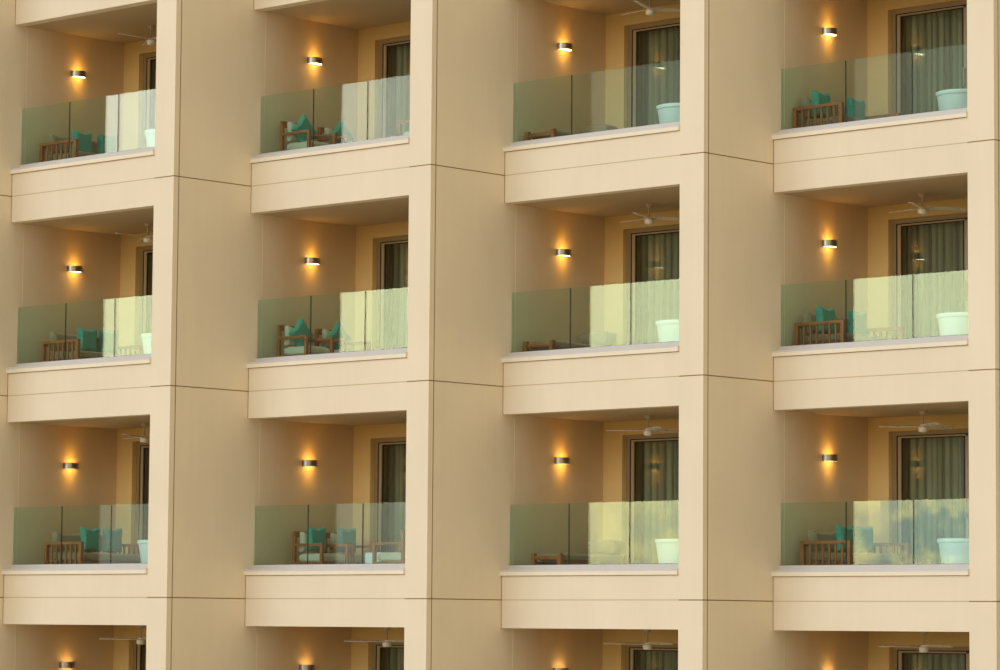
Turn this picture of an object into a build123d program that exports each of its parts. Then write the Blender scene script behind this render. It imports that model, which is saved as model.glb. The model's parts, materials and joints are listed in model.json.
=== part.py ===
from build123d import *
from math import cos, pi, radians, sin
import os

# Hotel with a stepped front: each bay stands one step further back than the bay on its left.
# X runs along the bay fronts, Y goes into the building, Z is up, lengths are in millimetres.
# Every bay is drawn about its own corner: x = 0 at its left wall, y = 0 at its front edge.

# The block
bays = 6
storeys = 5
chair_bay = 2
daybed_bay = 3
tub_bays = (1, 3, 4)
furnished_storeys = (1, 2, 3)
table_storey = 1
# Bay and storey of each sofa: gap to the left wall, and place of its first loose cushion along it
sofa_places = {(1, 1): (500, 490), (1, 2): (330, 490), (1, 3): (190, 420),
               (4, 1): (190, 490), (4, 2): (80, 160), (4, 3): (50, 90)}
# Storey of each pair of armchairs: gap to the left wall, and place of each from the balcony's front
chair_places = {1: (300, 700, 1360), 2: (200, 410, 1220), 3: (200, 410, 1220)}
# Storeys where the loose cushions of the armchairs stand on a corner
tilted_storeys = (2, 3)
# Storey of each armchair that faces the left, with the distance from its back to the right wall
third_chair_gaps = {1: 730.0, 3: 290.0}
# Storey of each daybed, with its gap to the left wall
daybed_gaps = {1: 250.0, 2: 60.0, 3: 60.0}
# Bay and storey of each ceiling fan, with the direction of one of its blades in degrees from +X
fan_turns = {(1, 0): 103, (2, 0): 103, (3, 0): 103, (4, 0): 103, (1, 1): 49, (3, 1): 85, (4, 1): 84,
             (1, 2): 30, (3, 2): 51, (4, 2): 51, (1, 3): 29, (3, 3): 52, (4, 3): 51}
storey_height = 3200.0
opening_width = 3450.0
pier_width = 450.0
bay_step = 1600.0
balcony_depth = 2300.0
room_depth = 6000.0
outer_wall = 250.0

# Balcony front
fascia_thickness = 200.0
fascia_drop = 420.0
fascia_rise = 360.0
roof_rise = 900.0
coping_height = 85.0
coping_overhang = 35.0
coping_inner_lip = 15.0
panel_joint = 12.0
panel_joint_depth = 12.0
side_joint_offset = 105.0

# Floors and ceilings
floor_level = 330.0
slab_thickness = 250.0
ceiling_thickness = 30.0
beam_depth = 450.0

# Glass balustrade
channel_width = 80.0
channel_height = 75.0
channel_setback = 140.0
glass_thickness = 20.0
glass_top = 1430.0
glass_gap = 12.0
glass_pane = 1174.0

# Balcony door
door_margin = 385.0
door_drop = 215.0
door_frame_setback = 100.0
door_frame_depth = 110.0
door_jamb = 160.0
door_head_frame = 100.0
meeting_stile = 80.0
door_glass_thickness = 24.0
door_sill = 60.0
leaf_offset = 44.0

# Curtain
curtain_gap = 90.0
curtain_thickness = 90.0
curtain_margin = 400.0
curtain_hem = 30.0
curtain_clearance = 0.3

# Wall light
light_along = 1310.0
light_height = 2135.0
light_radius = 145.0
light_body = 100.0
light_sides = 12

# Ceiling fan
fan_across = 1590.0
fan_rear_gap = 795.0
fan_radius = 660.0
fan_sides = 10
canopy_radius = 60.0
canopy_height = 50.0
canopy_foot = 40.0
rod_radius = 13.0
motor_radius = 68.0
motor_height = 62.0
motor_foot = 18.0
motor_foot_radius = 52.0
motor_drop = 290.0
ring_radius = 50.0
ring_height = 24.0
ring_clearance = 0.3
ring_lift = 5.0
blade_root = 40.0
blade_chord = 125.0
blade_tip_chord = 95.0
blade_corner = 30.0
blade_thickness = 8.0
blade_pitch = -12.0
blade_count = 3

# Rear windows
window_width = 1800.0
window_height = 1400.0
window_sill = 900.0
window_frame = 70.0
window_frame_depth = 90.0
window_frame_setback = 80.0
window_glass_thickness = 24.0

# Seats: sofas and armchairs
seat_post = 60.0
seat_rail = 45.0
seat_height = 240.0
seat_cushion = 140.0
cushion_clearance = 4.0
cushion_seat = 0.3
slat_width = 34.0
slat_thickness = 22.0
slat_low = 110.0

# Sofa
sofa_front = 400.0
sofa_rear_gap = 440.0
sofa_depth = 900.0
sofa_arm_height = 550.0
sofa_slats = 6
sofa_back_height = 520.0
sofa_back_cushion = 160.0
sofa_back_cushion_height = 345.0
scatter_size = 450.0
scatter_thickness = 140.0

# Armchair
third_chair_front = 700.0
chair_width = 600.0
chair_depth = 660.0
chair_arm_height = 530.0
chair_arm_thickness = 40.0
chair_post = 50.0
chair_back_height = 720.0
chair_back_cushion = 120.0
chair_back_cushion_height = 350.0
chair_scatter = 450.0
chair_scatter_thickness = 120.0
tilted_scatter_top = 520.0

# Daybed
daybed_front = 370.0
daybed_rear_gap = 330.0
daybed_width = 600.0
daybed_post_height = 370.0
daybed_post = 70.0
daybed_rail = 90.0
daybed_deck = 250.0
mattress = 120.0
bolster_depth = 300.0
bolster_height = 230.0

# Tub
tub_side_gap = 385.0
tub_inward = 920.0
tub_sides = 16
tub_top_radius = 365.0
tub_foot_radius = 275.0
tub_height = 565.0
tub_rim_height = 60.0
tub_rim = 14.0
tub_wall = 25.0
tub_fill_drop = 70.0

# Small table
table_side_gap = 1670.0
table_inward = 1180.0
table_size = 360.0
table_height = 385.0

# Derived sizes
bay_pitch = opening_width + pier_width
facade_wall = balcony_depth + outer_wall
rear_inner = facade_wall + room_depth
rear_face = rear_inner + outer_wall
ceiling_level = storey_height - fascia_drop
door_head = ceiling_level - door_drop
wall_top = storeys * storey_height + roof_rise
block_left = -pier_width
block_right = bays * bay_pitch
block_front = -bay_step
block_rear = (bays - 1) * bay_step + rear_face
centre_x = (block_left + block_right) / 2
centre_y = (block_front + block_rear) / 2
glass_bottom = fascia_rise + coping_height + channel_height
sofa_length = balcony_depth - sofa_rear_gap - sofa_front
daybed_length = balcony_depth - daybed_rear_gap - daybed_front
tub_across = opening_width - tub_side_gap - tub_top_radius
fan_inward = balcony_depth - fan_rear_gap
table_across = opening_width - table_side_gap


def bay_corner(bay, storey=0):
    """Left front corner of a bay at the panel joint of a storey, seen from under the block's middle."""
    return Vector(bay * bay_pitch - centre_x, bay * bay_step - centre_y, storey * storey_height)


def block(x0, x1, y0, y1, z0, z1):
    """Upright box between two corners."""
    return Pos(x0, y0, z0) * Box(x1 - x0, y1 - y0, z1 - z0, align=(Align.MIN, Align.MIN, Align.MIN))


def in_bay(shape, bay, storey=0):
    """A shape drawn about a bay's own corner, put in its place in the block."""
    return Pos(bay_corner(bay, storey)) * shape


def save(name, solids):
    """Write the solids of one node."""
    for solid in solids:
        solid.label = name
    whole = Compound(children=list(solids)) if len(solids) > 1 else solids[0]
    export_step(whole, f"parts/{name}.step")


def every_bay(shape, levels=range(storeys)):
    """One copy of a shape in every bay of the given storeys."""
    return [in_bay(shape, bay, level) for level in levels for bay in range(bays)]


# Walls that run the full height


def pier_wall():
    """Wall between two bays: its end is the pier, its right side is the next bay's left wall."""
    wall = block(-pier_width, 0, -bay_step, facade_wall, 0, wall_top)
    for level in range(1, storeys + 1):
        z = level * storey_height
        ring = block(-pier_width, panel_joint, -bay_step - panel_joint, 0,
                     z - panel_joint / 2, z + panel_joint / 2)
        core = block(-pier_width, -panel_joint_depth, -bay_step + panel_joint_depth, 0,
                     z - panel_joint, z + panel_joint)
        wall -= ring - core
    side = -bay_step + side_joint_offset
    wall -= block(-panel_joint_depth, panel_joint, side - panel_joint / 2, side + panel_joint / 2,
                  0, wall_top)
    return wall


def end_wall(rear):
    """Plain wall at the end of the block, from its pier to the rear."""
    return block(-pier_width, 0, -bay_step, rear, 0, wall_top)


def rear_pier_wall():
    """Wall at the rear between two bays, where the rear steps back too."""
    return block(-pier_width, 0, rear_inner - bay_step, rear_face, 0, wall_top)


# Floors, fronts and ceilings


def floor_slab():
    """Floor of one bay from its fascia to the rear wall."""
    top = floor_level
    return block(0, opening_width, fascia_thickness, rear_inner, top - slab_thickness, top)


def cross_beam(depth=beam_depth):
    """Beam under the floor between two bays, from the pier wall to the rear pier wall."""
    return block(-pier_width, 0, facade_wall, rear_inner - bay_step, floor_level - depth, floor_level)


def fascia(bottom, top=fascia_rise):
    """Front panel of a balcony with the joint that runs on round the pier."""
    panel = block(0, opening_width, 0, fascia_thickness, bottom, top)
    if bottom < 0:
        panel -= block(0, opening_width, 0, panel_joint_depth, -panel_joint / 2, panel_joint / 2)
    return panel


def coping(level_rise=fascia_rise):
    """Cap on the front panel, standing a little proud of it."""
    return block(0, opening_width, -coping_overhang, fascia_thickness + coping_inner_lip, level_rise,
                 level_rise + coping_height)


def wall_coping(x0, x1, y0, y1):
    """Cap on the top of a wall at the roof."""
    return block(x0, x1, y0, y1, wall_top, wall_top + coping_height)


def roof_copings():
    """Caps round the roof: on the front panels, the walls between bays, the end walls and the rear wall."""
    front, rear = -bay_step - coping_overhang, rear_face + coping_overhang
    caps = every_bay(coping(roof_rise), [storeys])
    caps += [in_bay(wall_coping(-pier_width, 0, front, facade_wall), bay) for bay in range(1, bays)]
    caps += [in_bay(wall_coping(-pier_width, 0, rear_inner - bay_step - coping_inner_lip, rear), bay)
             for bay in range(1, bays)]
    caps += [in_bay(wall_coping(0, opening_width, rear_inner - coping_inner_lip, rear), bay)
             for bay in range(bays)]
    caps.append(in_bay(wall_coping(-pier_width, 0, front, rear), 0))
    caps.append(in_bay(wall_coping(-pier_width, 0, front, rear - bay_step), bays))
    return caps


def balcony_ceiling():
    """Ceiling of a balcony, level with the underside of the front panel above."""
    return block(0, opening_width, fascia_thickness, balcony_depth,
                 ceiling_level, ceiling_level + ceiling_thickness)


# Balcony back wall and door


def back_wall_sides():
    """The two strips of wall beside the door."""
    top = storey_height + floor_level - slab_thickness
    left = block(0, door_margin, balcony_depth, facade_wall, floor_level, top)
    right = block(opening_width - door_margin, opening_width, balcony_depth, facade_wall, floor_level, top)
    return [left, right]


def door_lintel():
    """Wall over the door."""
    top = storey_height + floor_level - slab_thickness
    return block(door_margin, opening_width - door_margin, balcony_depth, facade_wall, door_head, top)


def door_frame():
    """Frame of the two-leaf door, with the stile where the leaves meet."""
    y0 = balcony_depth + door_frame_setback
    y1 = y0 + door_frame_depth
    x0, x1 = door_margin, opening_width - door_margin
    frame = block(x0, x1, y0, y1, floor_level, door_head)
    for left, right, _ in pane_spans():
        frame -= block(left, right, y0, y1, floor_level + door_sill, door_head - door_head_frame)
    return frame


def pane_spans():
    """Left and right edge of each clear pane, and how far back its glass stands."""
    middle = opening_width / 2
    left = door_margin + door_jamb
    front = balcony_depth + door_frame_setback + (door_frame_depth - leaf_offset - door_glass_thickness) / 2
    return ((left, middle - meeting_stile / 2, front),
            (middle + meeting_stile / 2, opening_width - left, front + leaf_offset))


def door_panes():
    """Glass of the two leaves."""
    z0, z1 = floor_level + door_sill, door_head - door_head_frame
    return [block(left, right, front, front + door_glass_thickness, z0, z1)
            for left, right, front in pane_spans()]


def curtain():
    """Drawn curtain behind the door, as a plain slab that hangs from the floor above."""
    y0 = facade_wall + curtain_gap
    top = storey_height + floor_level - slab_thickness - curtain_clearance
    return block(curtain_margin, opening_width - curtain_margin, y0, y0 + curtain_thickness,
                 floor_level + curtain_hem, top)


# Glass balustrade


def balustrade_channel():
    """Metal channel along the coping that holds the glass."""
    z0 = fascia_rise + coping_height
    return block(0, opening_width, channel_setback, channel_setback + channel_width, z0, z0 + channel_height)


def balustrade_panes():
    """The sheets of glass of one balcony: whole ones from the left, and one cut to fit."""
    middle = channel_setback + channel_width / 2
    panes = []
    x0 = glass_gap
    while x0 < opening_width - glass_gap:
        x1 = min(x0 + glass_pane, opening_width - glass_gap)
        panes.append(block(x0, x1, middle - glass_thickness / 2, middle + glass_thickness / 2,
                           glass_bottom, glass_top))
        x0 = x1 + glass_gap
    return panes


# Fittings


def tapered_prism(foot, top, height, sides):
    """Upright prism on a regular polygon that goes from one radius at z = 0 to another at its top."""
    turns = [2 * pi * side / sides for side in range(sides)]
    low, high = [[(radius * cos(turn), radius * sin(turn), z) for turn in turns]
                 for radius, z in ((foot, 0), (top, height))]
    rims = [low, high]
    rims += [[low[side - 1], low[side], high[side], high[side - 1]] for side in range(sides)]
    return Solid(Shell([Face(Wire.make_polygon(rim)) for rim in rims]))


def prism(radius, height, sides):
    """Upright prism on a regular polygon, standing on z = 0."""
    return tapered_prism(radius, radius, height, sides)


def wall_light():
    """Half-round metal light on the left wall, open above and below."""
    drum = prism(light_radius, light_body, light_sides)
    drum -= block(-2 * light_radius, 0, -light_radius, light_radius, 0, light_body)
    return Pos(0, light_along, light_height - light_body / 2) * drum


def fan_mount():
    """Fixed part of a ceiling fan: canopy, rod and motor housing."""
    canopy = Pos(0, 0, -canopy_height) * tapered_prism(canopy_foot, canopy_radius, canopy_height, fan_sides)
    rod = Pos(0, 0, motor_height - motor_drop) * prism(rod_radius, motor_drop - motor_height, fan_sides)
    housing = prism(motor_radius, motor_height, fan_sides)
    foot = Pos(0, 0, -motor_foot) * tapered_prism(motor_foot_radius, motor_radius, motor_foot, fan_sides)
    body = canopy + rod + Pos(0, 0, -motor_drop) * (housing + foot)
    return Pos(fan_across, fan_inward, ceiling_level) * body


def fan_rotor(turn):
    """Turning part of a ceiling fan: the ring round the rod and its three blades."""
    bore = (rod_radius + ring_clearance) / cos(radians(180 / fan_sides))
    half_root, half_tip, corner = blade_chord / 2, blade_tip_chord / 2, blade_corner
    outline = Polyline((blade_root, -half_root), (fan_radius - corner, -half_tip),
                       (fan_radius, corner - half_tip), (fan_radius, half_tip - corner),
                       (fan_radius - corner, half_tip), (blade_root, half_root), close=True)
    blade = Rot(blade_pitch, 0, 0) * extrude(make_face(outline), blade_thickness / 2, both=True)
    blade = Pos(0, 0, ring_height / 2) * blade
    rotor = prism(ring_radius, ring_height, fan_sides)
    for index in range(blade_count):
        rotor += Rot(0, 0, index * 360 / blade_count + turn) * blade
    rotor -= prism(bore, ring_height, fan_sides)
    return Pos(fan_across, fan_inward, ceiling_level - motor_drop + motor_height + ring_lift) * rotor


# Rear wall and windows


def rear_wall_strips():
    """Strips of rear wall beside the window."""
    x0, x1 = window_sides()
    return [block(0, x0, rear_inner, rear_face, 0, wall_top),
            block(x1, opening_width, rear_inner, rear_face, 0, wall_top)]


def window_sides():
    """Left and right edge of a rear window."""
    return (opening_width - window_width) / 2, (opening_width + window_width) / 2


def rear_spandrel(level):
    """Rear wall between the head of one window and the sill of the next above."""
    x0, x1 = window_sides()
    low = (level - 1) * storey_height + floor_level + window_sill + window_height if level else 0
    high = level * storey_height + floor_level + window_sill if level < storeys else wall_top
    return block(x0, x1, rear_inner, rear_face, low, high)


def rear_window_frame():
    """Frame of a rear window."""
    x0, x1 = window_sides()
    z0 = floor_level + window_sill
    z1 = z0 + window_height
    y1 = rear_face - window_frame_setback
    y0 = y1 - window_frame_depth
    clear = block(x0 + window_frame, x1 - window_frame, y0, y1, z0 + window_frame, z1 - window_frame)
    return block(x0, x1, y0, y1, z0, z1) - clear


def rear_pane():
    """Glass of a rear window."""
    x0, x1 = window_sides()
    z0 = floor_level + window_sill
    middle = rear_face - window_frame_setback - window_frame_depth / 2
    return block(x0 + window_frame, x1 - window_frame, middle - window_glass_thickness / 2,
                 middle + window_glass_thickness / 2, z0 + window_frame, z0 + window_height - window_frame)


# Furniture, drawn on the balcony floor about its own left front corner


def sofa_end():
    """Slatted end of a sofa: two posts, a top and a bottom rail, and upright slats between them."""
    depth, height, thickness = sofa_depth, sofa_arm_height, seat_post
    panel = block(0, seat_post, 0, thickness, 0, height)
    panel += block(depth - seat_post, depth, 0, thickness, 0, height)
    panel += block(0, depth, 0, thickness, height - seat_rail, height)
    panel += block(0, depth, 0, thickness, slat_low - seat_rail, slat_low)
    pitch = (depth - 2 * seat_post + slat_width) / (sofa_slats + 1)
    for index in range(sofa_slats):
        x = seat_post - slat_width + (index + 1) * pitch
        panel += block(x, x + slat_width, (thickness - slat_thickness) / 2, (thickness + slat_thickness) / 2,
                       slat_low, height - seat_rail)
    return panel


def sofa_frame():
    """Wooden two-seat sofa with a slatted end at each side, facing the right."""
    y0, y1 = seat_post, sofa_length - seat_post
    frame = sofa_end() + Pos(0, y1, 0) * sofa_end()
    frame += block(0, sofa_depth, y0, y1, seat_height - seat_rail, seat_height)
    frame += block(0, seat_rail, y0, y1, sofa_back_height - seat_rail, sofa_back_height)
    return frame


def sofa_cushions():
    """One seat cushion and two back cushions of a sofa, as plain slabs."""
    z0 = seat_height + cushion_seat
    z1 = z0 + seat_cushion
    x0 = seat_rail + cushion_seat
    y0, y1 = seat_post + cushion_clearance, sofa_length - seat_post - cushion_clearance
    middle = sofa_length / 2
    cushions = [block(x0, sofa_depth - cushion_clearance, y0, y1, z0, z1)]
    for low, high in ((y0, middle - cushion_clearance / 2), (middle + cushion_clearance / 2, y1)):
        cushions.append(block(x0, x0 + sofa_back_cushion, low, high, z1 + cushion_seat,
                              z1 + sofa_back_cushion_height))
    return cushions


def sofa_scatters(first):
    """Two loose cushions against the back cushions of a sofa, the second at its far end."""
    x0 = seat_rail + sofa_back_cushion + 2 * cushion_seat
    z0 = seat_height + seat_cushion + 2 * cushion_seat
    second = sofa_length - seat_post - cushion_clearance - scatter_size
    return [block(x0, x0 + scatter_thickness, y, y + scatter_size, z0, z0 + scatter_size)
            for y in (first, second)]


def chair_side():
    """Open side of an armchair: a tall rear post, a front post, the arm and a low rail."""
    post, depth = chair_post, chair_depth
    side = block(0, post, 0, post, 0, chair_back_height)
    side += block(depth - post, depth, 0, post, 0, chair_arm_height)
    side += block(post, depth, 0, post, chair_arm_height - chair_arm_thickness, chair_arm_height)
    side += block(post, depth - post, 0, post, seat_height - 1.5 * seat_rail, seat_height)
    return side


def chair_frame():
    """Wooden armchair that faces the right."""
    y0, y1 = chair_post, chair_width - chair_post
    frame = chair_side() + Pos(0, y1, 0) * chair_side()
    frame += block(0, chair_depth, y0, y1, seat_height - seat_rail, seat_height)
    frame += block(0, seat_rail, y0, y1, chair_back_height - 2 * seat_rail, chair_back_height)
    return frame


def chair_cushions():
    """Seat and back cushion of an armchair, as plain slabs."""
    z0 = seat_height + cushion_seat
    z1 = z0 + seat_cushion
    x0 = seat_rail + cushion_seat
    y0, y1 = chair_post + cushion_clearance, chair_width - chair_post - cushion_clearance
    return [block(x0, chair_depth, y0, y1, z0, z1),
            block(x0, x0 + chair_back_cushion, y0, y1, z1 + cushion_seat, z1 + chair_back_cushion_height)]


def chair_scatter_cushion():
    """Loose cushion on an armchair."""
    x0 = seat_rail + chair_back_cushion + 2 * cushion_seat
    y0 = (chair_width - chair_scatter) / 2
    z0 = seat_height + seat_cushion + 2 * cushion_seat
    return block(x0, x0 + chair_scatter_thickness, y0, y0 + chair_scatter, z0, z0 + chair_scatter)


def tilted_scatter_cushion():
    """Loose cushion on an armchair that stands on one corner, pressed in by the seat and the two arms."""
    x0 = seat_rail + chair_back_cushion + 2 * cushion_seat
    z0 = seat_height + seat_cushion + 2 * cushion_seat
    half = chair_scatter / 2
    turned = Rot(45, 0, 0) * block(0, chair_scatter_thickness, -half, half, -half, half)
    raised = Pos(x0, chair_width / 2, z0 + tilted_scatter_top - half * 2 ** 0.5) * turned
    arms = chair_arm_height + cushion_seat
    inner = chair_post + cushion_clearance
    raised &= block(0, chair_depth, -chair_width, 2 * chair_width, z0, z0 + tilted_scatter_top)
    raised -= block(0, chair_depth, -chair_width, inner, 0, arms)
    return raised - block(0, chair_depth, chair_width - inner, 2 * chair_width, 0, arms)


def daybed_frame():
    """Low wooden bed with four posts and a rail all round."""
    post, rail = daybed_post, daybed_rail
    bed = block(0, daybed_width, 0, daybed_length, daybed_deck - rail, daybed_deck)
    for x in (0, daybed_width - post):
        for y in (0, daybed_length - post):
            bed += block(x, x + post, y, y + post, 0, daybed_post_height)
    bed += block(0, daybed_width, 0, post / 2, daybed_deck, daybed_post_height - post / 2)
    return bed


def daybed_cushions():
    """Mattress and bolster of the daybed, as plain slabs."""
    z0 = daybed_deck + cushion_seat
    z1 = z0 + mattress
    y0, y1 = daybed_post + cushion_clearance, daybed_length - daybed_post - cushion_clearance
    return [block(cushion_clearance, daybed_width - cushion_clearance, y0, y1, z0, z1),
            block(cushion_clearance, daybed_width - cushion_clearance, y1 - bolster_depth, y1,
                  z1 + cushion_seat, z1 + bolster_height)]


def tub():
    """Round tub that widens to a thicker rim, filled a little below it."""
    body = tapered_prism(tub_foot_radius, tub_top_radius - tub_rim, tub_height, tub_sides)
    rim = Pos(0, 0, tub_height - tub_rim_height) * prism(tub_top_radius, tub_rim_height, tub_sides)
    inner = tub_top_radius - tub_rim - tub_wall
    hollow = Pos(0, 0, tub_height - tub_fill_drop) * prism(inner, tub_fill_drop, tub_sides)
    return body + rim - hollow


def table():
    """Small box table."""
    half = table_size / 2
    return block(-half, half, -half, half, 0, table_height)


def on_balcony(shapes, bay, storey, x, y):
    """Pieces of furniture set down on a balcony floor."""
    return [in_bay(Pos(x, y, floor_level) * shape, bay, storey) for shape in shapes]


def furnish():
    """Write the furniture of the balconies that have it."""
    sofas, sofa_soft, chairs, chair_soft, scatters, beds, bed_soft, tubs, tables = ([] for _ in range(9))
    for (bay, storey), (gap, first_scatter) in sofa_places.items():
        sofas += on_balcony([sofa_frame()], bay, storey, gap, sofa_front)
        sofa_soft += on_balcony(sofa_cushions(), bay, storey, gap, sofa_front)
        scatters += on_balcony(sofa_scatters(first_scatter), bay, storey, gap, sofa_front)
    for storey, (gap, *fronts) in chair_places.items():
        loose = tilted_scatter_cushion() if storey in tilted_storeys else chair_scatter_cushion()
        for y in fronts:
            chairs += on_balcony([chair_frame()], chair_bay, storey, gap, y)
            chair_soft += on_balcony(chair_cushions(), chair_bay, storey, gap, y)
            scatters += on_balcony([loose], chair_bay, storey, gap, y)
    for storey, gap in third_chair_gaps.items():
        turned = [Rot(0, 0, 180) * shape for shape in [chair_frame()] + chair_cushions()]
        placed = on_balcony(turned, chair_bay, storey, opening_width - gap, third_chair_front + chair_width)
        chairs.append(placed[0])
        chair_soft += placed[1:]
    for storey, gap in daybed_gaps.items():
        beds += on_balcony([daybed_frame()], daybed_bay, storey, gap, daybed_front)
        bed_soft += on_balcony(daybed_cushions(), daybed_bay, storey, gap, daybed_front)
    tubs += [tub_there for storey in furnished_storeys for bay in tub_bays
             for tub_there in on_balcony([tub()], bay, storey, tub_across, tub_inward)]
    tables += on_balcony([table()], chair_bay, table_storey, table_across, table_inward)
    save("sofa_frames", sofas)
    save("sofa_cushions", sofa_soft)
    save("armchair_frames", chairs)
    save("armchair_cushions", chair_soft)
    save("scatter_cushions", scatters)
    save("daybed_frames", beds)
    save("daybed_mattresses", bed_soft)
    save("tubs", tubs)
    save("small_tables", tables)


def build():
    """Make every node and write it."""
    os.makedirs("parts", exist_ok=True)
    wall = pier_wall()
    save("pier_walls", [in_bay(wall, bay) for bay in range(1, bays)])
    save("end_wall_left", [in_bay(end_wall(rear_face), 0)])
    save("end_wall_right", [in_bay(end_wall(rear_face - bay_step), bays)])
    save("rear_pier_walls", [in_bay(rear_pier_wall(), bay) for bay in range(1, bays)])
    save("floor_slabs", every_bay(floor_slab()))
    save("roof_slabs", every_bay(floor_slab(), [storeys]))
    ground_beams = [in_bay(cross_beam(floor_level), bay) for bay in range(1, bays)]
    upper_beams = [in_bay(cross_beam(), bay, level)
                   for level in range(1, storeys + 1) for bay in range(1, bays)]
    save("cross_beams", ground_beams + upper_beams)
    save("ground_fascias", every_bay(fascia(0), [0]))
    save("balcony_fascias", every_bay(fascia(-fascia_drop), range(1, storeys)))
    save("roof_fascias", every_bay(fascia(-fascia_drop, roof_rise), [storeys]))
    save("balcony_copings", every_bay(coping()))
    save("roof_copings", roof_copings())
    save("balcony_ceilings", every_bay(balcony_ceiling()))
    save("back_wall_sides", [side for strip in back_wall_sides() for side in every_bay(strip)])
    save("door_lintels", every_bay(door_lintel()))
    save("door_frames", every_bay(door_frame()))
    save("door_glass", [pane for sheet in door_panes() for pane in every_bay(sheet)])
    save("curtains", every_bay(curtain()))
    save("balustrade_channels", every_bay(balustrade_channel()))
    save("balustrade_glass", [pane for sheet in balustrade_panes() for pane in every_bay(sheet)])
    save("wall_lights", every_bay(wall_light()))
    save("rear_wall_strips", [in_bay(strip, bay) for strip in rear_wall_strips() for bay in range(bays)])
    save("rear_spandrels", [in_bay(rear_spandrel(level), bay)
                            for level in range(storeys + 1) for bay in range(bays)])
    save("rear_window_frames", every_bay(rear_window_frame()))
    save("rear_window_glass", every_bay(rear_pane()))
    save("fan_mounts", [in_bay(fan_mount(), bay, storey) for bay, storey in fan_turns])
    for (bay, storey), turn in fan_turns.items():
        save(f"fan_rotor_{bay}{storey}", [in_bay(fan_rotor(turn), bay, storey)])
    furnish()


build()
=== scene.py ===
"""Dresses the stepped hotel block: finishes for every part, soft goods, fittings, light and camera."""

import json
import logging
import math
import random
from collections.abc import Iterable, Sequence
from dataclasses import dataclass
from enum import Enum

import bmesh
import bpy
from mathutils import Matrix, Vector


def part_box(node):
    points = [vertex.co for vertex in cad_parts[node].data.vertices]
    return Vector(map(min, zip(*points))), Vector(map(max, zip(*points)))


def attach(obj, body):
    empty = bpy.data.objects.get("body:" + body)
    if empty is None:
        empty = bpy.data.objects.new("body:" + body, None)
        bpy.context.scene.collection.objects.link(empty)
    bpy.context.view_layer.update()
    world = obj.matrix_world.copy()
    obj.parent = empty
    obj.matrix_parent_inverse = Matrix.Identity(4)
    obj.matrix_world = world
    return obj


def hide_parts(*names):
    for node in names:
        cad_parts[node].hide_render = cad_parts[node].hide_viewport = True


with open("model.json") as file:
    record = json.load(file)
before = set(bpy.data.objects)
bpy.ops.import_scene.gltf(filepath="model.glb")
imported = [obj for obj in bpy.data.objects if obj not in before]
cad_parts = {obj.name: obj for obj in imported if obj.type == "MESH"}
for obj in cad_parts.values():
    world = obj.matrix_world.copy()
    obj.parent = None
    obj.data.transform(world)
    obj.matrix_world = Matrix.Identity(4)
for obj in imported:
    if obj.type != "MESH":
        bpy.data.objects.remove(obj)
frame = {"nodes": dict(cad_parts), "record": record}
log = logging.getLogger("hotel")

Colour = tuple[float, float, float]
Point = tuple[float, float, float]
Socket = bpy.types.NodeSocket
Mesh = bmesh.types.BMesh
Piece = bpy.types.Object
Material = bpy.types.Material
BODY = "block"
DAYBED_BAY, DAYBED_FRONT = 3, 0.37
DAYBED_GAPS = ((1, 0.25), (2, 0.06), (3, 0.06))  # Storey, and gap to the left wall.
# Direction in degrees of one blade of each fan, by its bay and storey.
FAN_TURNS = {(1, 0): 103.0, (2, 0): 103.0, (3, 0): 103.0, (4, 0): 103.0, (1, 1): 49.0, (3, 1): 85.0,
             (4, 1): 84.0, (1, 2): 30.0, (3, 2): 51.0, (4, 2): 51.0, (1, 3): 29.0, (3, 3): 52.0,
             (4, 3): 51.0}


class Source(Enum):
    """Where a material takes its places from, by Blender's names for them."""

    OBJECT = "Object"
    FACE_MAP = "UV"


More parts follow.
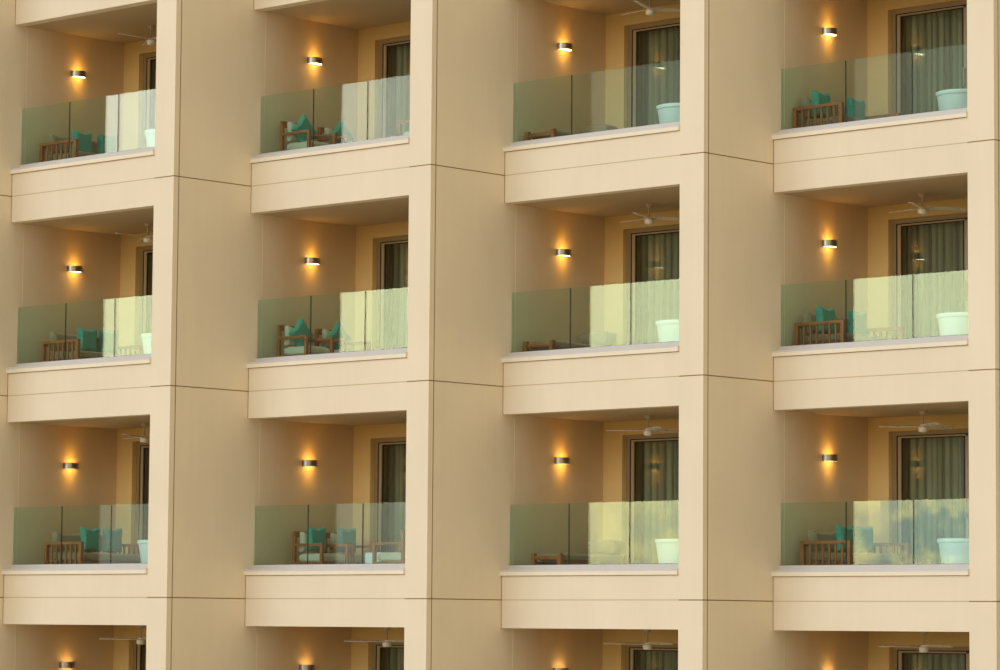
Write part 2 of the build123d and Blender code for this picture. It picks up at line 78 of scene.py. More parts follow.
@dataclass(frozen=True)
class BlockPlan:
    """Where the bays and storeys of the block are, in metres.

    Heights within a storey are from its level joint, and depths within a bay from its front.

    Attributes:
        corner: Left front corner of the first bay at the ground.
        bays: Number of bays.
        storeys: Number of storeys.
        opening: Width of a balcony between its piers.
        pier: Width of a pier.
        step: How far each bay stands back from the one on its left.
        storey: Height from one level joint to the next.
        floor: Height of a balcony's floor.
        ceiling: Height of its ceiling.
        balcony: Depth of a balcony, up to its back wall.
        wall: Thickness of the back and rear walls.
        room: Depth of the rooms.
        slab: Thickness of a floor slab.
        roof_rise: Height of the roof's parapet over the last level joint.
        panel_rise: Height of the front panel above the level joint.
        panel_drop: Drop of the front panel below it.
        upright_joint: How far the upright joint of a pier is behind its front.
        coping_top: Height of the coping's top.
        coping_over: How far the coping stands out from the panel.
    """

    corner: Vector
    bays: int = 6
    storeys: int = 5
    opening: float = 3.45
    pier: float = 0.45
    step: float = 1.6
    storey: float = 3.2
    floor: float = 0.33
    ceiling: float = 2.78
    balcony: float = 2.3
    wall: float = 0.25
    room: float = 6.0
    slab: float = 0.25
    roof_rise: float = 0.9
    panel_rise: float = 0.36
    panel_drop: float = 0.42
    upright_joint: float = 0.105
    coping_top: float = 0.445
    coping_over: float = 0.035

    @property
    def wall_top(self) -> float:
        """Top of the walls, where the roof's copings sit."""
        return self.storeys * self.storey + self.roof_rise

    @property
    def pitch(self) -> float:
        """Distance from one bay to the next along the front."""
        return self.opening + self.pier

    @property
    def inner_face(self) -> float:
        """How far the room side of the balcony's back wall is from the bay's front."""
        return self.balcony + self.wall

    @property
    def rear_face(self) -> float:
        """How far the rear of the block is from the bay's front."""
        return self.inner_face + self.room + self.wall

    def at(self, bay: int, storey: int = 0, local: Point = (0.0, 0.0, 0.0)) -> Vector:
        """Place of a point of one balcony.

        Args:
            bay: Bay number from the left, from 0.
            storey: Storey number from the ground, from 0.
            local: The point in the bay's own frame, from its left front corner at the panel joint.

        Returns:
            The point in the frame of the whole block.
        """
        shift = Vector((bay * self.pitch, bay * self.step, storey * self.storey))
        return self.corner + shift + Vector(local)

    def everywhere(self) -> list[Vector]:
        """Corner of every balcony of the block."""
        return [self.at(bay, storey) for storey in range(self.storeys) for bay in range(self.bays)]


def read_plan() -> BlockPlan:
    """Take the first bay's corner from the left end wall, whose front stands one step ahead of that bay."""
    low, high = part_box("end_wall_left")
    return BlockPlan(corner=Vector((high.x, low.y + BlockPlan.step, 0.0)))


class NodeSheet:
    """A material's or world's node tree, written with short calls."""

    def __init__(self, tree: bpy.types.NodeTree) -> None:
        """Start from an empty tree.

        Args:
            tree: The tree to fill.
        """
        self.tree = tree
        tree.nodes.clear()

    def add(self, kind: str, settings: dict[str, object] | None = None, **sockets: object) -> bpy.types.Node:
        """Add a node.

        Args:
            kind: Blender's name of the node type.
            settings: Properties of the node itself.
            **sockets: Inputs by name, with underscores for spaces. Sockets are linked, the rest is set.

        Returns:
            The new node.
        """
        node = self.tree.nodes.new(kind)
        for key, value in (settings or {}).items():
            setattr(node, key, value)
        self.fill(node, **sockets)
        return node

    def fill(self, node: bpy.types.Node, **sockets: object) -> None:
        """Feed inputs of a node by name, with underscores for spaces."""
        for key, value in sockets.items():
            self.feed(node.inputs[key.replace("_", " ")], value)

    def feed(self, socket: bpy.types.NodeSocket, value: object) -> None:
        """Link a socket value to an input, or set the input to a plain value.

        Args:
            socket: The input.
            value: What goes into it.
        """
        if isinstance(value, bpy.types.NodeSocket):
            self.tree.links.new(value, socket)
        else:
            socket.default_value = value

    def points(self, scale: Point = (1.0, 1.0, 1.0), source: Source = Source.OBJECT) -> Socket:
        """Places in metres, stretched by a scale along each axis."""
        place = self.add("ShaderNodeTexCoord").outputs[source.value]
        return self.add("ShaderNodeMapping", Scale=scale, Vector=place).outputs[0]

    def parts(self, vector: Socket) -> tuple[Socket, ...]:
        """X, Y and Z of a vector."""
        return tuple(self.add("ShaderNodeSeparateXYZ", Vector=vector).outputs)

    def noise(self, points: Socket, scale: float, detail: float = 3.0, rough: float = 0.5) -> Socket:
        """Noise value at a point, from 0 to 1."""
        return self.add("ShaderNodeTexNoise", Vector=points, Scale=scale, Detail=detail,
                        Roughness=rough).outputs["Fac"]

    def spread(self, value: Socket, low: float, high: float, to_low: float, to_high: float) -> Socket:
        """Stretch a value from one range to another, held at its ends."""
        return self.add("ShaderNodeMapRange", Value=value, From_Min=low, From_Max=high,
                        To_Min=to_low, To_Max=to_high).outputs[0]

    def blend(self, share: object, first: object, second: object, mode: str = "MIX") -> Socket:
        """Mix two colours.

        Args:
            share: How much of the second colour, from 0 to 1.
            first: Colour or socket.
            second: Colour or socket.
            mode: Blender's blend type.

        Returns:
            The mixed colour.
        """
        node = self.add("ShaderNodeMix", {"data_type": "RGBA", "blend_type": mode})
        for index, value in ((0, share), (6, first), (7, second)):
            colour = (*value, 1.0) if isinstance(value, tuple) and len(value) == 3 else value
            self.feed(node.inputs[index], colour)
        return node.outputs[2]

    def fed(self, kind: str, values: Iterable[object], **settings: object) -> Socket:
        """Add a node whose inputs take values in their order, and give its first output.

        Args:
            kind: Blender's name of the node type.
            values: Sockets or plain values of its inputs.
            **settings: Properties of the node itself.

        Returns:
            The first output.
        """
        node = self.add(kind, settings)
        for socket, value in zip(node.inputs, values):
            self.feed(socket, value)
        return node.outputs[0]

    def shaders(self, share: object, first: Socket, second: Socket) -> Socket:
        """Mix two shaders, with the share of the second."""
        return self.fed("ShaderNodeMixShader", (share, first, second))

    def sums(self, operation: str, *values: object) -> Socket:
        """One step of arithmetic."""
        return self.fed("ShaderNodeMath", values, operation=operation)

    def product(self, first: object, *others: object) -> Socket:
        """Multiply two or more values.

        Args:
            first: First value or socket.
            others: What it is multiplied by.

        Returns:
            Their product.
        """
        for other in others:
            first = self.sums("MULTIPLY", first, other)
        return first

    def vector(self, operation: str, *values: object) -> Socket:
        """One step of arithmetic on vectors."""
        return self.fed("ShaderNodeVectorMath", values, operation=operation)

    def scaled(self, vector: Socket, scale: float) -> Socket:
        """A vector made longer or shorter."""
        return self.add("ShaderNodeVectorMath", {"operation": "SCALE"}, Vector=vector, Scale=scale).outputs[0]

    def toned(self, colour: object, level: Socket) -> Socket:
        """A colour, darker or lighter by a level around 1."""
        grey = self.add("ShaderNodeCombineColor", Red=level, Green=level, Blue=level)
        return self.blend(1.0, colour, grey.outputs[0], "MULTIPLY")

    def bump(self, height: Socket, depth: float, strength: float) -> Socket:
        """Normal from a height, with its full depth in metres."""
        return self.add("ShaderNodeBump", Height=height, Strength=strength, Distance=depth).outputs[0]


def new_sheet(name: str) -> tuple[Material, NodeSheet]:
    """Make an empty material with its sheet of nodes.

    Args:
        name: Name of the material.

    Returns:
        The material and its sheet.
    """
    material = bpy.data.materials.new(name)
    material.use_nodes = True
    return material, NodeSheet(material.node_tree)


@dataclass(frozen=True)
class Finish:
    """What every kind of finish has.

    Attributes:
        name: The material's name.
        colour: Main colour, linear.
        rough: Roughness of the surface.
    """

    name: str
    colour: Colour
    rough: float = 0.6

    def make(self) -> Material:
        """Build the material.

        Returns:
            The finished material.
        """
        material, sheet = new_sheet(self.name)
        surface = sheet.add("ShaderNodeBsdfPrincipled", Roughness=self.rough)
        self.dress(sheet, surface)
        sheet.add("ShaderNodeOutputMaterial", Surface=self.shown(sheet, surface.outputs["BSDF"]))
        return material

    def shown(self, sheet: NodeSheet, surface: Socket) -> Socket:
        """What the material shows, from its surface."""
        return surface

    def dress(self, sheet: NodeSheet, surface: bpy.types.Node) -> None:
        """Give the surface its colour and relief. Each kind of finish has its own way.

        Args:
            sheet: The material's nodes.
            surface: Its Principled node.
        """
        raise NotImplementedError

    def darker(self, share: float) -> Colour:
        """The main colour, scaled."""
        return tuple(min(1.0, part * share) for part in self.colour)


@dataclass(frozen=True)
class Render(Finish):
    """Smooth cement render or cast panel, with soft clouds, weather streaks and a fine grain, and with a plan
    also painted light and shade by facing, by depth in the balconies and toward their ceilings.

    Attributes:
        rough: Roughness of its surface.
        cloud: Strength of the soft clouds.
        streak: Strength of the streaks that run down.
        side: Painted light and shade by facing: colour of faces that look along the bays, or, where there is
            no inner colour, painted shade of the upper part toward the ceiling.
        inner: Second paint inside the balconies, warmed and darkened as painted lamplight and recess shade
            that fade in with depth.
        shade: Painted shade under the balconies' ceilings.
        plan: Measures of the bays, needed by the three colours above.
        inner_fade: Depths behind the front between which the inner colour, with its painted lamplight and
            shade, comes in.
        shade_fade: Depths behind the front between which the shade comes in.
        shade_foot: Height above the level joint where the shade begins.
        wall_slack: How far past the back wall's face the inner colour still counts.
    """

    rough: float = 0.78
    cloud: float = 0.035
    streak: float = 0.012
    side: Colour | None = None
    inner: Colour | None = None
    shade: Colour | None = None
    plan: BlockPlan | None = None
    inner_fade: tuple[float, float] = (0.05, 0.85)
    shade_fade: tuple[float, float] = (0.3, 1.2)
    shade_foot: float = 1.8
    wall_slack: float = 0.02

    def depth(self, sheet: NodeSheet) -> Socket:
        """How far a point is behind the front of its bay, in metres.

        Args:
            sheet: Nodes of the material.

        Returns:
            The depth, negative ahead of the front.
        """
        plan = self.plan
        x, y, _ = sheet.parts(sheet.points())
        along = sheet.sums("SUBTRACT", x, plan.corner.x - plan.pier / 2)
        bay = sheet.sums("FLOOR", sheet.sums("DIVIDE", along, plan.pitch))
        depth = sheet.sums("SUBTRACT", y, plan.corner.y)
        return sheet.sums("SUBTRACT", depth, sheet.product(bay, plan.step))

    def within(self, sheet: NodeSheet) -> Socket:
        """1 between the outer faces of the end walls and below the roof, 0 on and beyond them.

        Args:
            sheet: Nodes of the material.

        Returns:
            1 or 0.
        """
        plan = self.plan
        x, _, z = sheet.parts(sheet.points())
        left = plan.corner.x - plan.pier / 2
        right = left + plan.bays * plan.pitch
        return sheet.product(sheet.sums("GREATER_THAN", x, left), sheet.sums("LESS_THAN", x, right),
                             sheet.sums("LESS_THAN", z, plan.storeys * plan.storey))

    def overhead(self, sheet: NodeSheet) -> Socket:
        """How near a point is to the ceiling of its storey: 0 up to the shade's foot and 1 at the ceiling.

        Args:
            sheet: Nodes of the material.

        Returns:
            The share.
        """
        _, _, z = sheet.parts(sheet.points())
        height = sheet.sums("MODULO", z, self.plan.storey)
        return sheet.spread(height, self.shade_foot, self.plan.ceiling, 0.0, 1.0)

    def base(self, sheet: NodeSheet) -> object:
        """Main colour with painted light and shade: another on faces that look along the bays, a warmer one
        inside the balconies with painted shade under their ceilings, or, without an inner colour, painted
        shade toward the ceiling.

        Args:
            sheet: Nodes of the material.

        Returns:
            The colour, or a socket that gives it.
        """
        if self.plan is None:
            return self.colour
        if self.inner is None:
            # Without an inner colour, the side colour is painted shade toward the ceiling.
            return sheet.blend(self.overhead(sheet), self.colour, self.side)
        # Painted light and shade by facing: faces that look along the bays take the side colour.
        across, _, _ = sheet.parts(sheet.add("ShaderNodeTexCoord").outputs["Normal"])
        sideways = sheet.sums("GREATER_THAN", sheet.sums("ABSOLUTE", across), 0.5)
        outer = sheet.blend(sideways, self.colour, self.side)
        # Inside the balconies the walls that look along the bays take the inner colour: a second paint with
        # painted lamplight and recess shade, fading in with depth.
        depth = self.depth(sheet)
        before_wall = sheet.sums("LESS_THAN", depth, self.plan.balcony + self.wall_slack)
        inward = sheet.product(sideways, before_wall, self.within(sheet),
                               sheet.spread(depth, *self.inner_fade, 0.0, 1.0))
        # Painted shade toward the ceilings, deeper in the balconies.
        high = sheet.product(self.overhead(sheet), sheet.spread(depth, *self.shade_fade, 0.0, 1.0))
        return sheet.blend(inward, outer, sheet.blend(high, self.inner, self.shade))

    def dress(self, sheet: NodeSheet, surface: bpy.types.Node) -> None:
        """See Finish.dress.

        Args:
            sheet: Nodes of the material.
            surface: Its shader.
        """
        points = sheet.points()
        clouds = sheet.noise(points, 0.7, 5.0, 0.55)
        streaks = sheet.noise(sheet.points((7.0, 7.0, 0.35)), 1.0, 4.0, 0.6)
        soft = sheet.spread(clouds, 0.3, 0.7, 1.0 - self.cloud, 1.0 + self.cloud)
        lines = sheet.spread(streaks, 0.35, 0.75, 1.0 + self.streak, 1.0 - self.streak)
        speckle = sheet.spread(sheet.noise(points, 90.0, 2.0), 0.3, 0.7, 0.985, 1.015)
        tint = sheet.blend(clouds, (1.0, 1.0, 1.0), (0.985, 1.0, 1.03))
        warm = sheet.blend(1.0, self.base(sheet), tint, "MULTIPLY")
        colour = sheet.toned(warm, sheet.product(soft, lines, speckle))
        trowel = sheet.noise(points, 4.0, 4.0, 0.5)
        grain = sheet.noise(points, 140.0, 3.0, 0.6)
        relief = sheet.sums("ADD", sheet.product(trowel, 3.0), grain)
        rough = sheet.spread(clouds, 0.3, 0.7, self.rough - 0.06, self.rough + 0.06)
        sheet.fill(surface, Base_Color=colour, Roughness=rough, Normal=sheet.bump(relief, 0.0006, 0.6))


@dataclass(frozen=True)
class Metal(Finish):
    """Coated or brushed metal.

    Attributes:
        metallic: How far it is bare metal.
        brushed: Strength of the fine brush lines, or 0 for a plain coating.
    """

    metallic: float = 0.0
    brushed: float = 0.0

    def dress(self, sheet: NodeSheet, surface: bpy.types.Node) -> None:
        """See Finish.dress.

        Args:
            sheet: Nodes of the material.
            surface: Its shader.
        """
        points = sheet.points()
        wear = sheet.noise(points, 9.0, 4.0)
        lines = sheet.noise(sheet.points((4.0, 4.0, 400.0)), 1.0, 2.0) if self.brushed else wear
        high = self.rough + 0.08 + 0.2 * self.brushed
        sheet.fill(surface, Base_Color=sheet.blend(wear, self.darker(0.92), self.darker(1.05)),
                   Metallic=self.metallic, Roughness=sheet.spread(lines, 0.3, 0.7, self.rough - 0.05, high),
                   Normal=sheet.bump(sheet.noise(points, 700.0, 1.0), 0.00004, 0.4))


@dataclass(frozen=True)
class Wood(Finish):
    """Oiled hardwood, with growth lines along each bar and a little greying.

    Attributes:
        rough: Roughness of its surface.
        line: Colour of the dark growth lines.
    """

    rough: float = 0.5
    line: Colour = (0.06, 0.018, 0.005)

    def dress(self, sheet: NodeSheet, surface: bpy.types.Node) -> None:
        """See Finish.dress.

        Args:
            sheet: Nodes of the material.
            surface: Its shader.
        """
        along = sheet.points((1.6, 26.0, 26.0), Source.FACE_MAP)
        bars = sheet.noise(sheet.points(), 5.0, 1.0)
        shift = sheet.add("ShaderNodeCombineXYZ", X=bars, Y=sheet.product(bars, 6.0)).outputs[0]
        warped = sheet.vector("ADD", along, shift)
        lines = sheet.noise(warped, 3.0, 6.0, 0.65)
        pores = sheet.noise(warped, 24.0, 2.0, 0.5)
        share = sheet.spread(lines, 0.42, 0.66, 0.0, 0.75)
        body = sheet.blend(share, self.colour, self.line)
        paler = sheet.blend(sheet.spread(bars, 0.35, 0.65, 0.0, 0.35), body, self.darker(1.5))
        dust = sheet.spread(pores, 0.55, 0.75, 0.0, 0.3)
        sheet.fill(surface, Base_Color=sheet.blend(dust, paler, self.line),
                   Roughness=sheet.spread(lines, 0.3, 0.7, self.rough - 0.1, self.rough + 0.15),
                   Normal=sheet.bump(sheet.sums("ADD", lines, pores), 0.0008, 0.5))


@dataclass(frozen=True)
class Cloth(Finish):
    """Woven cloth, from two sets of threads.

    Attributes:
        rough: Roughness of its surface.
        thread: Width of one thread in metres.
        sheen: Strength of the soft edge light.
        folds: Strength of the faint shadow folds.
        see_through: How much light comes through, as in a curtain.
        painted_pleat_shade: How much darker the cloth is at the back of its pleats and lighter at their
            fronts, as painted shade and light.
    """

    rough: float = 0.92
    thread: float = 0.004
    sheen: float = 0.25
    folds: float = 0.06
    see_through: float = 0.0
    painted_pleat_shade: float = 0.0

    def shown(self, sheet: NodeSheet, surface: Socket) -> Socket:
        """See Finish.shown. Thin cloth mixes in light from behind.

        Args:
            sheet: Nodes of the material.
            surface: Output of its shader.

        Returns:
            What the material shows.
        """
        if not self.see_through:
            return surface
        through = sheet.add("ShaderNodeBsdfTranslucent", Color=(*self.colour, 1.0))
        return sheet.shaders(self.see_through, surface, through.outputs[0])

    def dress(self, sheet: NodeSheet, surface: bpy.types.Node) -> None:
        """See Finish.dress.

        Args:
            sheet: Nodes of the material.
            surface: Its shader.
        """
        points = sheet.points()
        turns = math.pi / self.thread
        waves = [sheet.sums("SINE", sheet.product(part, turns)) for part in sheet.parts(points)]
        weave = sheet.product(sheet.sums("ADD", waves[0], waves[1]), waves[2])
        slubs = sheet.noise(sheet.points((30.0, 30.0, 220.0)), 1.0, 2.0)
        blotch = sheet.spread(sheet.noise(points, 2.2, 3.0), 0.3, 0.7, 1.0 - self.folds, 1.0 + self.folds)
        level = sheet.product(blotch, sheet.spread(slubs, 0.3, 0.7, 0.95, 1.05),
                              sheet.spread(weave, -1.0, 1.0, 0.94, 1.04))
        # Painted shade toward the back of each pleat and painted light toward its front, from the curtain's
        # per-vertex value.
        if self.painted_pleat_shade:
            back = sheet.add("ShaderNodeAttribute", {"attribute_name": "fold"}).outputs["Fac"]
            level = sheet.product(level, sheet.spread(back, 0.0, 1.0, 1.0 + self.painted_pleat_shade, 1.0 - self.painted_pleat_shade))
        sheet.fill(surface, Base_Color=sheet.toned(self.colour, level), Sheen_Weight=self.sheen,
                   Sheen_Roughness=0.5, Normal=sheet.bump(weave, self.thread * 0.2, 0.5))


@dataclass(frozen=True)
class Glass(Finish):
    """A sheet of glass: clear with a tint, and a mirror at a slant.

    Attributes:
        rough: Roughness of its surface.
        mirror: Share that one face mirrors when seen straight on.
        sway: How far a pane hangs out of true, as a slope.
        ripple: Waves within a pane, as a share of the sway.
        pane: Width of a pane with its joint, step of the bays and height of a storey.
    """

    rough: float = 0.0
    mirror: float = 0.1
    sway: float = 0.0
    ripple: float = 0.15
    pane: Point = (1.186, BlockPlan.step, BlockPlan.storey)

    def hung(self, sheet: NodeSheet) -> Socket:
        """Normal of a sheet that hangs a little out of true, each pane in its own way.

        Args:
            sheet: Nodes of the material.

        Returns:
            The normal.
        """
        cell = [sheet.sums("FLOOR", sheet.sums("DIVIDE", part, size))
                for part, size in zip(sheet.parts(sheet.points()), self.pane)]
        cells = sheet.add("ShaderNodeCombineXYZ", X=cell[0], Y=cell[1], Z=cell[2]).outputs[0]
        dice = sheet.add("ShaderNodeTexWhiteNoise", {"noise_dimensions": "3D"}, Vector=cells)
        lean = sheet.vector("SUBTRACT", dice.outputs["Color"], (0.5, 0.5, 0.5))
        wave = sheet.add("ShaderNodeTexNoise", Vector=sheet.points(), Scale=1.1, Detail=1.0)
        ripple = sheet.vector("SUBTRACT", wave.outputs["Color"], (0.5, 0.5, 0.5))
        tilt = sheet.scaled(sheet.vector("ADD", lean, sheet.scaled(ripple, self.ripple)), self.sway)
        true = sheet.add("ShaderNodeNewGeometry").outputs["Normal"]
        return sheet.vector("NORMALIZE", sheet.vector("ADD", true, tilt))

    def make(self) -> Material:
        """See Finish.make. The colour is what one face lets through.

        Returns:
            The material.
        """
        material, sheet = new_sheet(self.name)
        smear = sheet.noise(sheet.points(), 1.4, 3.0)
        tint = sheet.blend(smear, self.darker(0.97), self.darker(1.02))
        through = sheet.add("ShaderNodeBsdfTransparent", Color=tint)
        mirror = sheet.add("ShaderNodeBsdfAnisotropic", Color=(1.0, 1.0, 1.0, 1.0), Roughness=self.rough)
        if self.sway:
            sheet.fill(mirror, Normal=self.hung(sheet))
        slant = sheet.add("ShaderNodeLayerWeight", Blend=0.5).outputs["Facing"]
        edge = sheet.spread(sheet.sums("POWER", slant, 5.0), 0.0, 1.0, self.mirror, 1.0)
        mixed = sheet.shaders(edge, through.outputs[0], mirror.outputs[0])
        sheet.add("ShaderNodeOutputMaterial", Surface=mixed)
        return material


@dataclass(frozen=True)
class Lamp(Finish):
    """A frosted lamp glass that glows.

    Attributes:
        power: Strength of the glow.
    """

    power: float = 6.0

    def dress(self, sheet: NodeSheet, surface: bpy.types.Node) -> None:
        """See Finish.dress."""
        colour = (*self.colour, 1.0)
        sheet.fill(surface, Base_Color=colour, Emission_Color=colour, Emission_Strength=self.power)


class Paints:
    """Every finish of the block, made once."""

    def __init__(self, plan: BlockPlan) -> None:
        """Make the materials.

        Args:
            plan: The block's plan, which places the inner paint.
        """
        finishes = (
            # cream_render's side, inner and shade colours are painted light and shade: by facing, lamplit and
            # shaded in the balconies, and darker under their ceilings.
            Render("cream_render", (0.80, 0.68, 0.475), side=(0.86, 0.72, 0.49),
                   inner=(0.82, 0.615, 0.365), shade=(0.58, 0.38, 0.18), plan=plan),
            Render("coping_cream", (0.84, 0.73, 0.53), cloud=0.03, streak=0.02),
            # Ceilings: darker and more orange than the render, as painted shade and lamplight.
            Render("ceiling_paint", (0.53, 0.385, 0.215), cloud=0.03, streak=0.0),
            # Back wall render: its warm colour is painted lamplight, and its side colour painted shade toward
            # the ceiling.
            Render("warm_render", (0.93, 0.66, 0.27), side=(0.60, 0.39, 0.12), plan=plan),
            # Dark sealant: real joints, also laid as painted shadow lines under the copings, at the fascia
            # ends and in the pier grooves.
            Metal("sealant", (0.27, 0.155, 0.03), 0.9),
            Metal("pale_sealant", (0.56, 0.42, 0.20), 0.9),
            Render("concrete", (0.46, 0.36, 0.24), cloud=0.12, streak=0.03),
            Metal("bronze_aluminium", (0.36, 0.25, 0.115), 0.42),
            Metal("pale_bronze", (0.48, 0.36, 0.19), 0.42),
            Metal("white_metal", (0.62, 0.59, 0.53), 0.38),
            Metal("satin_steel", (0.42, 0.37, 0.30), 0.24, metallic=1.0, brushed=0.3),
            Metal("fan_metal", (0.90, 0.82, 0.64), 0.28),
            Metal("rubber", (0.011, 0.010, 0.007), 0.6),
            Wood("oiled_wood", (0.39, 0.102, 0.013)),
            Cloth("grey_cloth", (0.34, 0.24, 0.135)),
            Cloth("cream_cloth", (0.66, 0.59, 0.42)),
            Cloth("teal_cloth", (0.055, 0.36, 0.26)),
            # The curtain cloth's pleats carry painted shade and light.
            Cloth("curtain_cloth", (0.40, 0.40, 0.27), thread=0.002, see_through=0.15, painted_pleat_shade=0.75),
            Metal("tub_white", (0.80, 0.80, 0.77), 0.4),
            Glass("tinted_glass", (0.86, 0.97, 0.94), mirror=0.028, sway=0.007),
            Glass("clear_glass", (0.90, 0.94, 0.90), mirror=0.05),
            Lamp("lamp_lens", (1.0, 0.82, 0.48), power=12.0),
            # A darker copy of the fan metal, as painted shade on the canopies and rods.
            Metal("canopy_paint", (0.50, 0.38, 0.23), 0.5),
        )
        self.materials = {finish.name: finish.make() for finish in finishes}

    def __getitem__(self, name: str) -> Material:
        """The material of a name."""
        return self.materials[name]

    def dress_nodes(self) -> None:
        """Give every node of the frame the finish that its slot names."""
        # The back wall and the lintels take the render with painted lamplight and painted shade toward its
        # top.
        own = {"back_wall_sides": "warm_render", "door_lintels": "warm_render"}
        for row in frame["record"]["subparts"]:
            node = frame["nodes"][row["node"]]
            node.data.materials.clear()
            node.data.materials.append(self[own.get(row["node"], row["material_slot"])])


def add_object(name: str, data: bpy.types.ID) -> Piece:
    """Put new data into the scene as an object.

    Args:
        name: Name of the object.
        data: Its mesh, light or camera.

    Returns:
        The object.
    """
    made = bpy.data.objects.new(name, data)
    bpy.context.scene.collection.objects.link(made)
    return made


def add_mesh(name: str, mesh: Mesh, material: Material) -> Piece:
    """Put a mesh in the making into the scene, which uses it up.

    Args:
        name: Name of the piece.
        mesh: The mesh in the making.
        material: Its material.

    Returns:
        The piece.
    """
    data = bpy.data.meshes.new(name)
    mesh.to_mesh(data)
    mesh.free()
    data.materials.append(material)
    return add_object(name, data)


class Shape:
    """A mesh in the making, from boxes and turned profiles."""

    def __init__(self) -> None:
        """Start with nothing."""
        self.mesh = bmesh.new()

    def box(self, low: Point, high: Point) -> None:
        """Add an upright box between two corners.

        Args:
            low: Its least corner.
            high: Its greatest corner.
        """
        size = Vector(high) - Vector(low)
        middle = (Vector(high) + Vector(low)) / 2
        place = Matrix.Translation(middle) @ Matrix.Diagonal((*size, 1.0))
        bmesh.ops.create_cube(self.mesh, size=1.0, matrix=place)

    def border(self, low: Point, high: Point, wide: float) -> None:
        """Add the four bars of an upright frame.

        Args:
            low: Least corner of the frame.
            high: Greatest corner of it.
            wide: Width of its bars, which lie inside those corners.
        """
        (x0, front, z0), (x1, back, z1) = low, high
        for left, right, under, over in ((x0, x0 + wide, z0, z1), (x1 - wide, x1, z0, z1),
                                         (x0 + wide, x1 - wide, z0, z0 + wide),
                                         (x0 + wide, x1 - wide, z1 - wide, z1)):
            self.box((left, front, under), (right, back, over))

    def turned(self, profile: Sequence[tuple[float, float]], steps: int, sweep: float = math.tau) -> None:
        """Add a closed profile turned about the upright axis.

        Args:
            profile: Radius and height of each point, in order round the section.
            steps: Number of steps round the axis.
            sweep: Angle turned through, a full turn by default.
        """
        full = sweep == math.tau
        rings = []
        for index in range(steps if full else steps + 1):
            angle = sweep * index / steps
            across, along = math.cos(angle), math.sin(angle)
            rings.append([self.mesh.verts.new((r * across, r * along, z)) for r, z in profile])
        for ring, after in zip(rings, rings[1:] + rings[:1] if full else rings[1:]):
            for index in range(len(profile)):
                following = (index + 1) % len(profile)
                self.mesh.faces.new((ring[index], after[index], after[following], ring[following]))
        if not full:
            self.mesh.faces.new(rings[0])
            self.mesh.faces.new(list(reversed(rings[-1])))
        bmesh.ops.remove_doubles(self.mesh, verts=[point for ring in rings for point in ring], dist=1e-6)

    def piece(self, name: str, material: Material, place: Matrix | None = None) -> Piece:
        """Turn the shape into an object whose place is in its mesh.

        Args:
            name: Name of the object.
            material: Its finish.
            place: Where to put it.

        Returns:
            The new object.
        """
        if place is not None:
            self.mesh.transform(place)
        bmesh.ops.recalc_face_normals(self.mesh, faces=self.mesh.faces)
        return add_mesh(name, self.mesh, material)


def smooth(piece: Piece, angle: float = 35.0) -> None:
    """Shade a piece smooth across edges flatter than an angle in degrees.

    Args:
        piece: The piece.
        angle: Largest angle that is still smooth.
    """
    data = piece.data
    data.shade_smooth()
    data.set_sharp_from_angle(angle=math.radians(angle))


def settle(piece: Piece, body: str = BODY) -> Piece:
    """Let a finished piece ride on a body.

    Args:
        piece: The piece.
        body: Body that carries it.

    Returns:
        The same piece.
    """
    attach(piece, body)
    log.info("%s: %d faces", piece.name, len(piece.data.polygons))
    return piece


def make_plain(piece: Piece) -> Piece:
    """Apply every modifier of a piece to its mesh.

    Args:
        piece: The piece.

    Returns:
        The same piece with its final mesh.
    """
    graph = bpy.context.evaluated_depsgraph_get()
    data = bpy.data.meshes.new_from_object(piece.evaluated_get(graph))
    data.name = piece.name
    piece.modifiers.clear()
    piece.data = data
    return piece


class Repeater:
    """Geometry Nodes tree that sets one unit at every point of a mesh and makes one plain mesh of them."""

    def __init__(self) -> None:
        """Build the tree once, for all the pieces that use it."""
        tree = bpy.data.node_groups.new("set_out_units", "GeometryNodeTree")
        face = tree.interface
        for name, kind in (("Places", "Geometry"), ("Unit", "Object"), ("Finish", "Material")):
            face.new_socket(name, in_out="INPUT", socket_type=f"NodeSocket{kind}")
        face.new_socket("Units", in_out="OUTPUT", socket_type="NodeSocketGeometry")
        sheet = NodeSheet(tree)
        entry = sheet.add("NodeGroupInput").outputs
        unit = sheet.add("GeometryNodeObjectInfo", {"transform_space": "ORIGINAL"}, Object=entry["Unit"])
        spread = sheet.add("GeometryNodeInstanceOnPoints", Points=entry["Places"],
                           Instance=unit.outputs["Geometry"]).outputs["Instances"]
        real = sheet.add("GeometryNodeRealizeInstances", Geometry=spread).outputs["Geometry"]
        paint = sheet.add("GeometryNodeSetMaterial", Geometry=real, Material=entry["Finish"])
        sheet.add("NodeGroupOutput", Units=paint.outputs["Geometry"])
        self.tree = tree
        self.sockets = {item.name: item.identifier for item in face.items_tree if item.in_out == "INPUT"}

    def spread(self, unit: Piece, name: str, places: Iterable[Vector], material: Material) -> Piece:
        """Set a unit at every place, and make one plain mesh of them.

        Args:
            unit: The unit, drawn about the point that goes to each place. It is used up.
            name: Name of the new piece.
            places: Where the units go.
            material: Their finish.

        Returns:
            The new piece.
        """
        data = bpy.data.meshes.new(name)
        data.from_pydata([tuple(place) for place in places], [], [])
        piece = add_object(name, data)
        modifier = piece.modifiers.new("units", "NODES")
        modifier.node_group = self.tree
        modifier[self.sockets["Unit"]] = unit
        modifier[self.sockets["Finish"]] = material
        make_plain(piece)
        bpy.data.objects.remove(unit)
        return piece


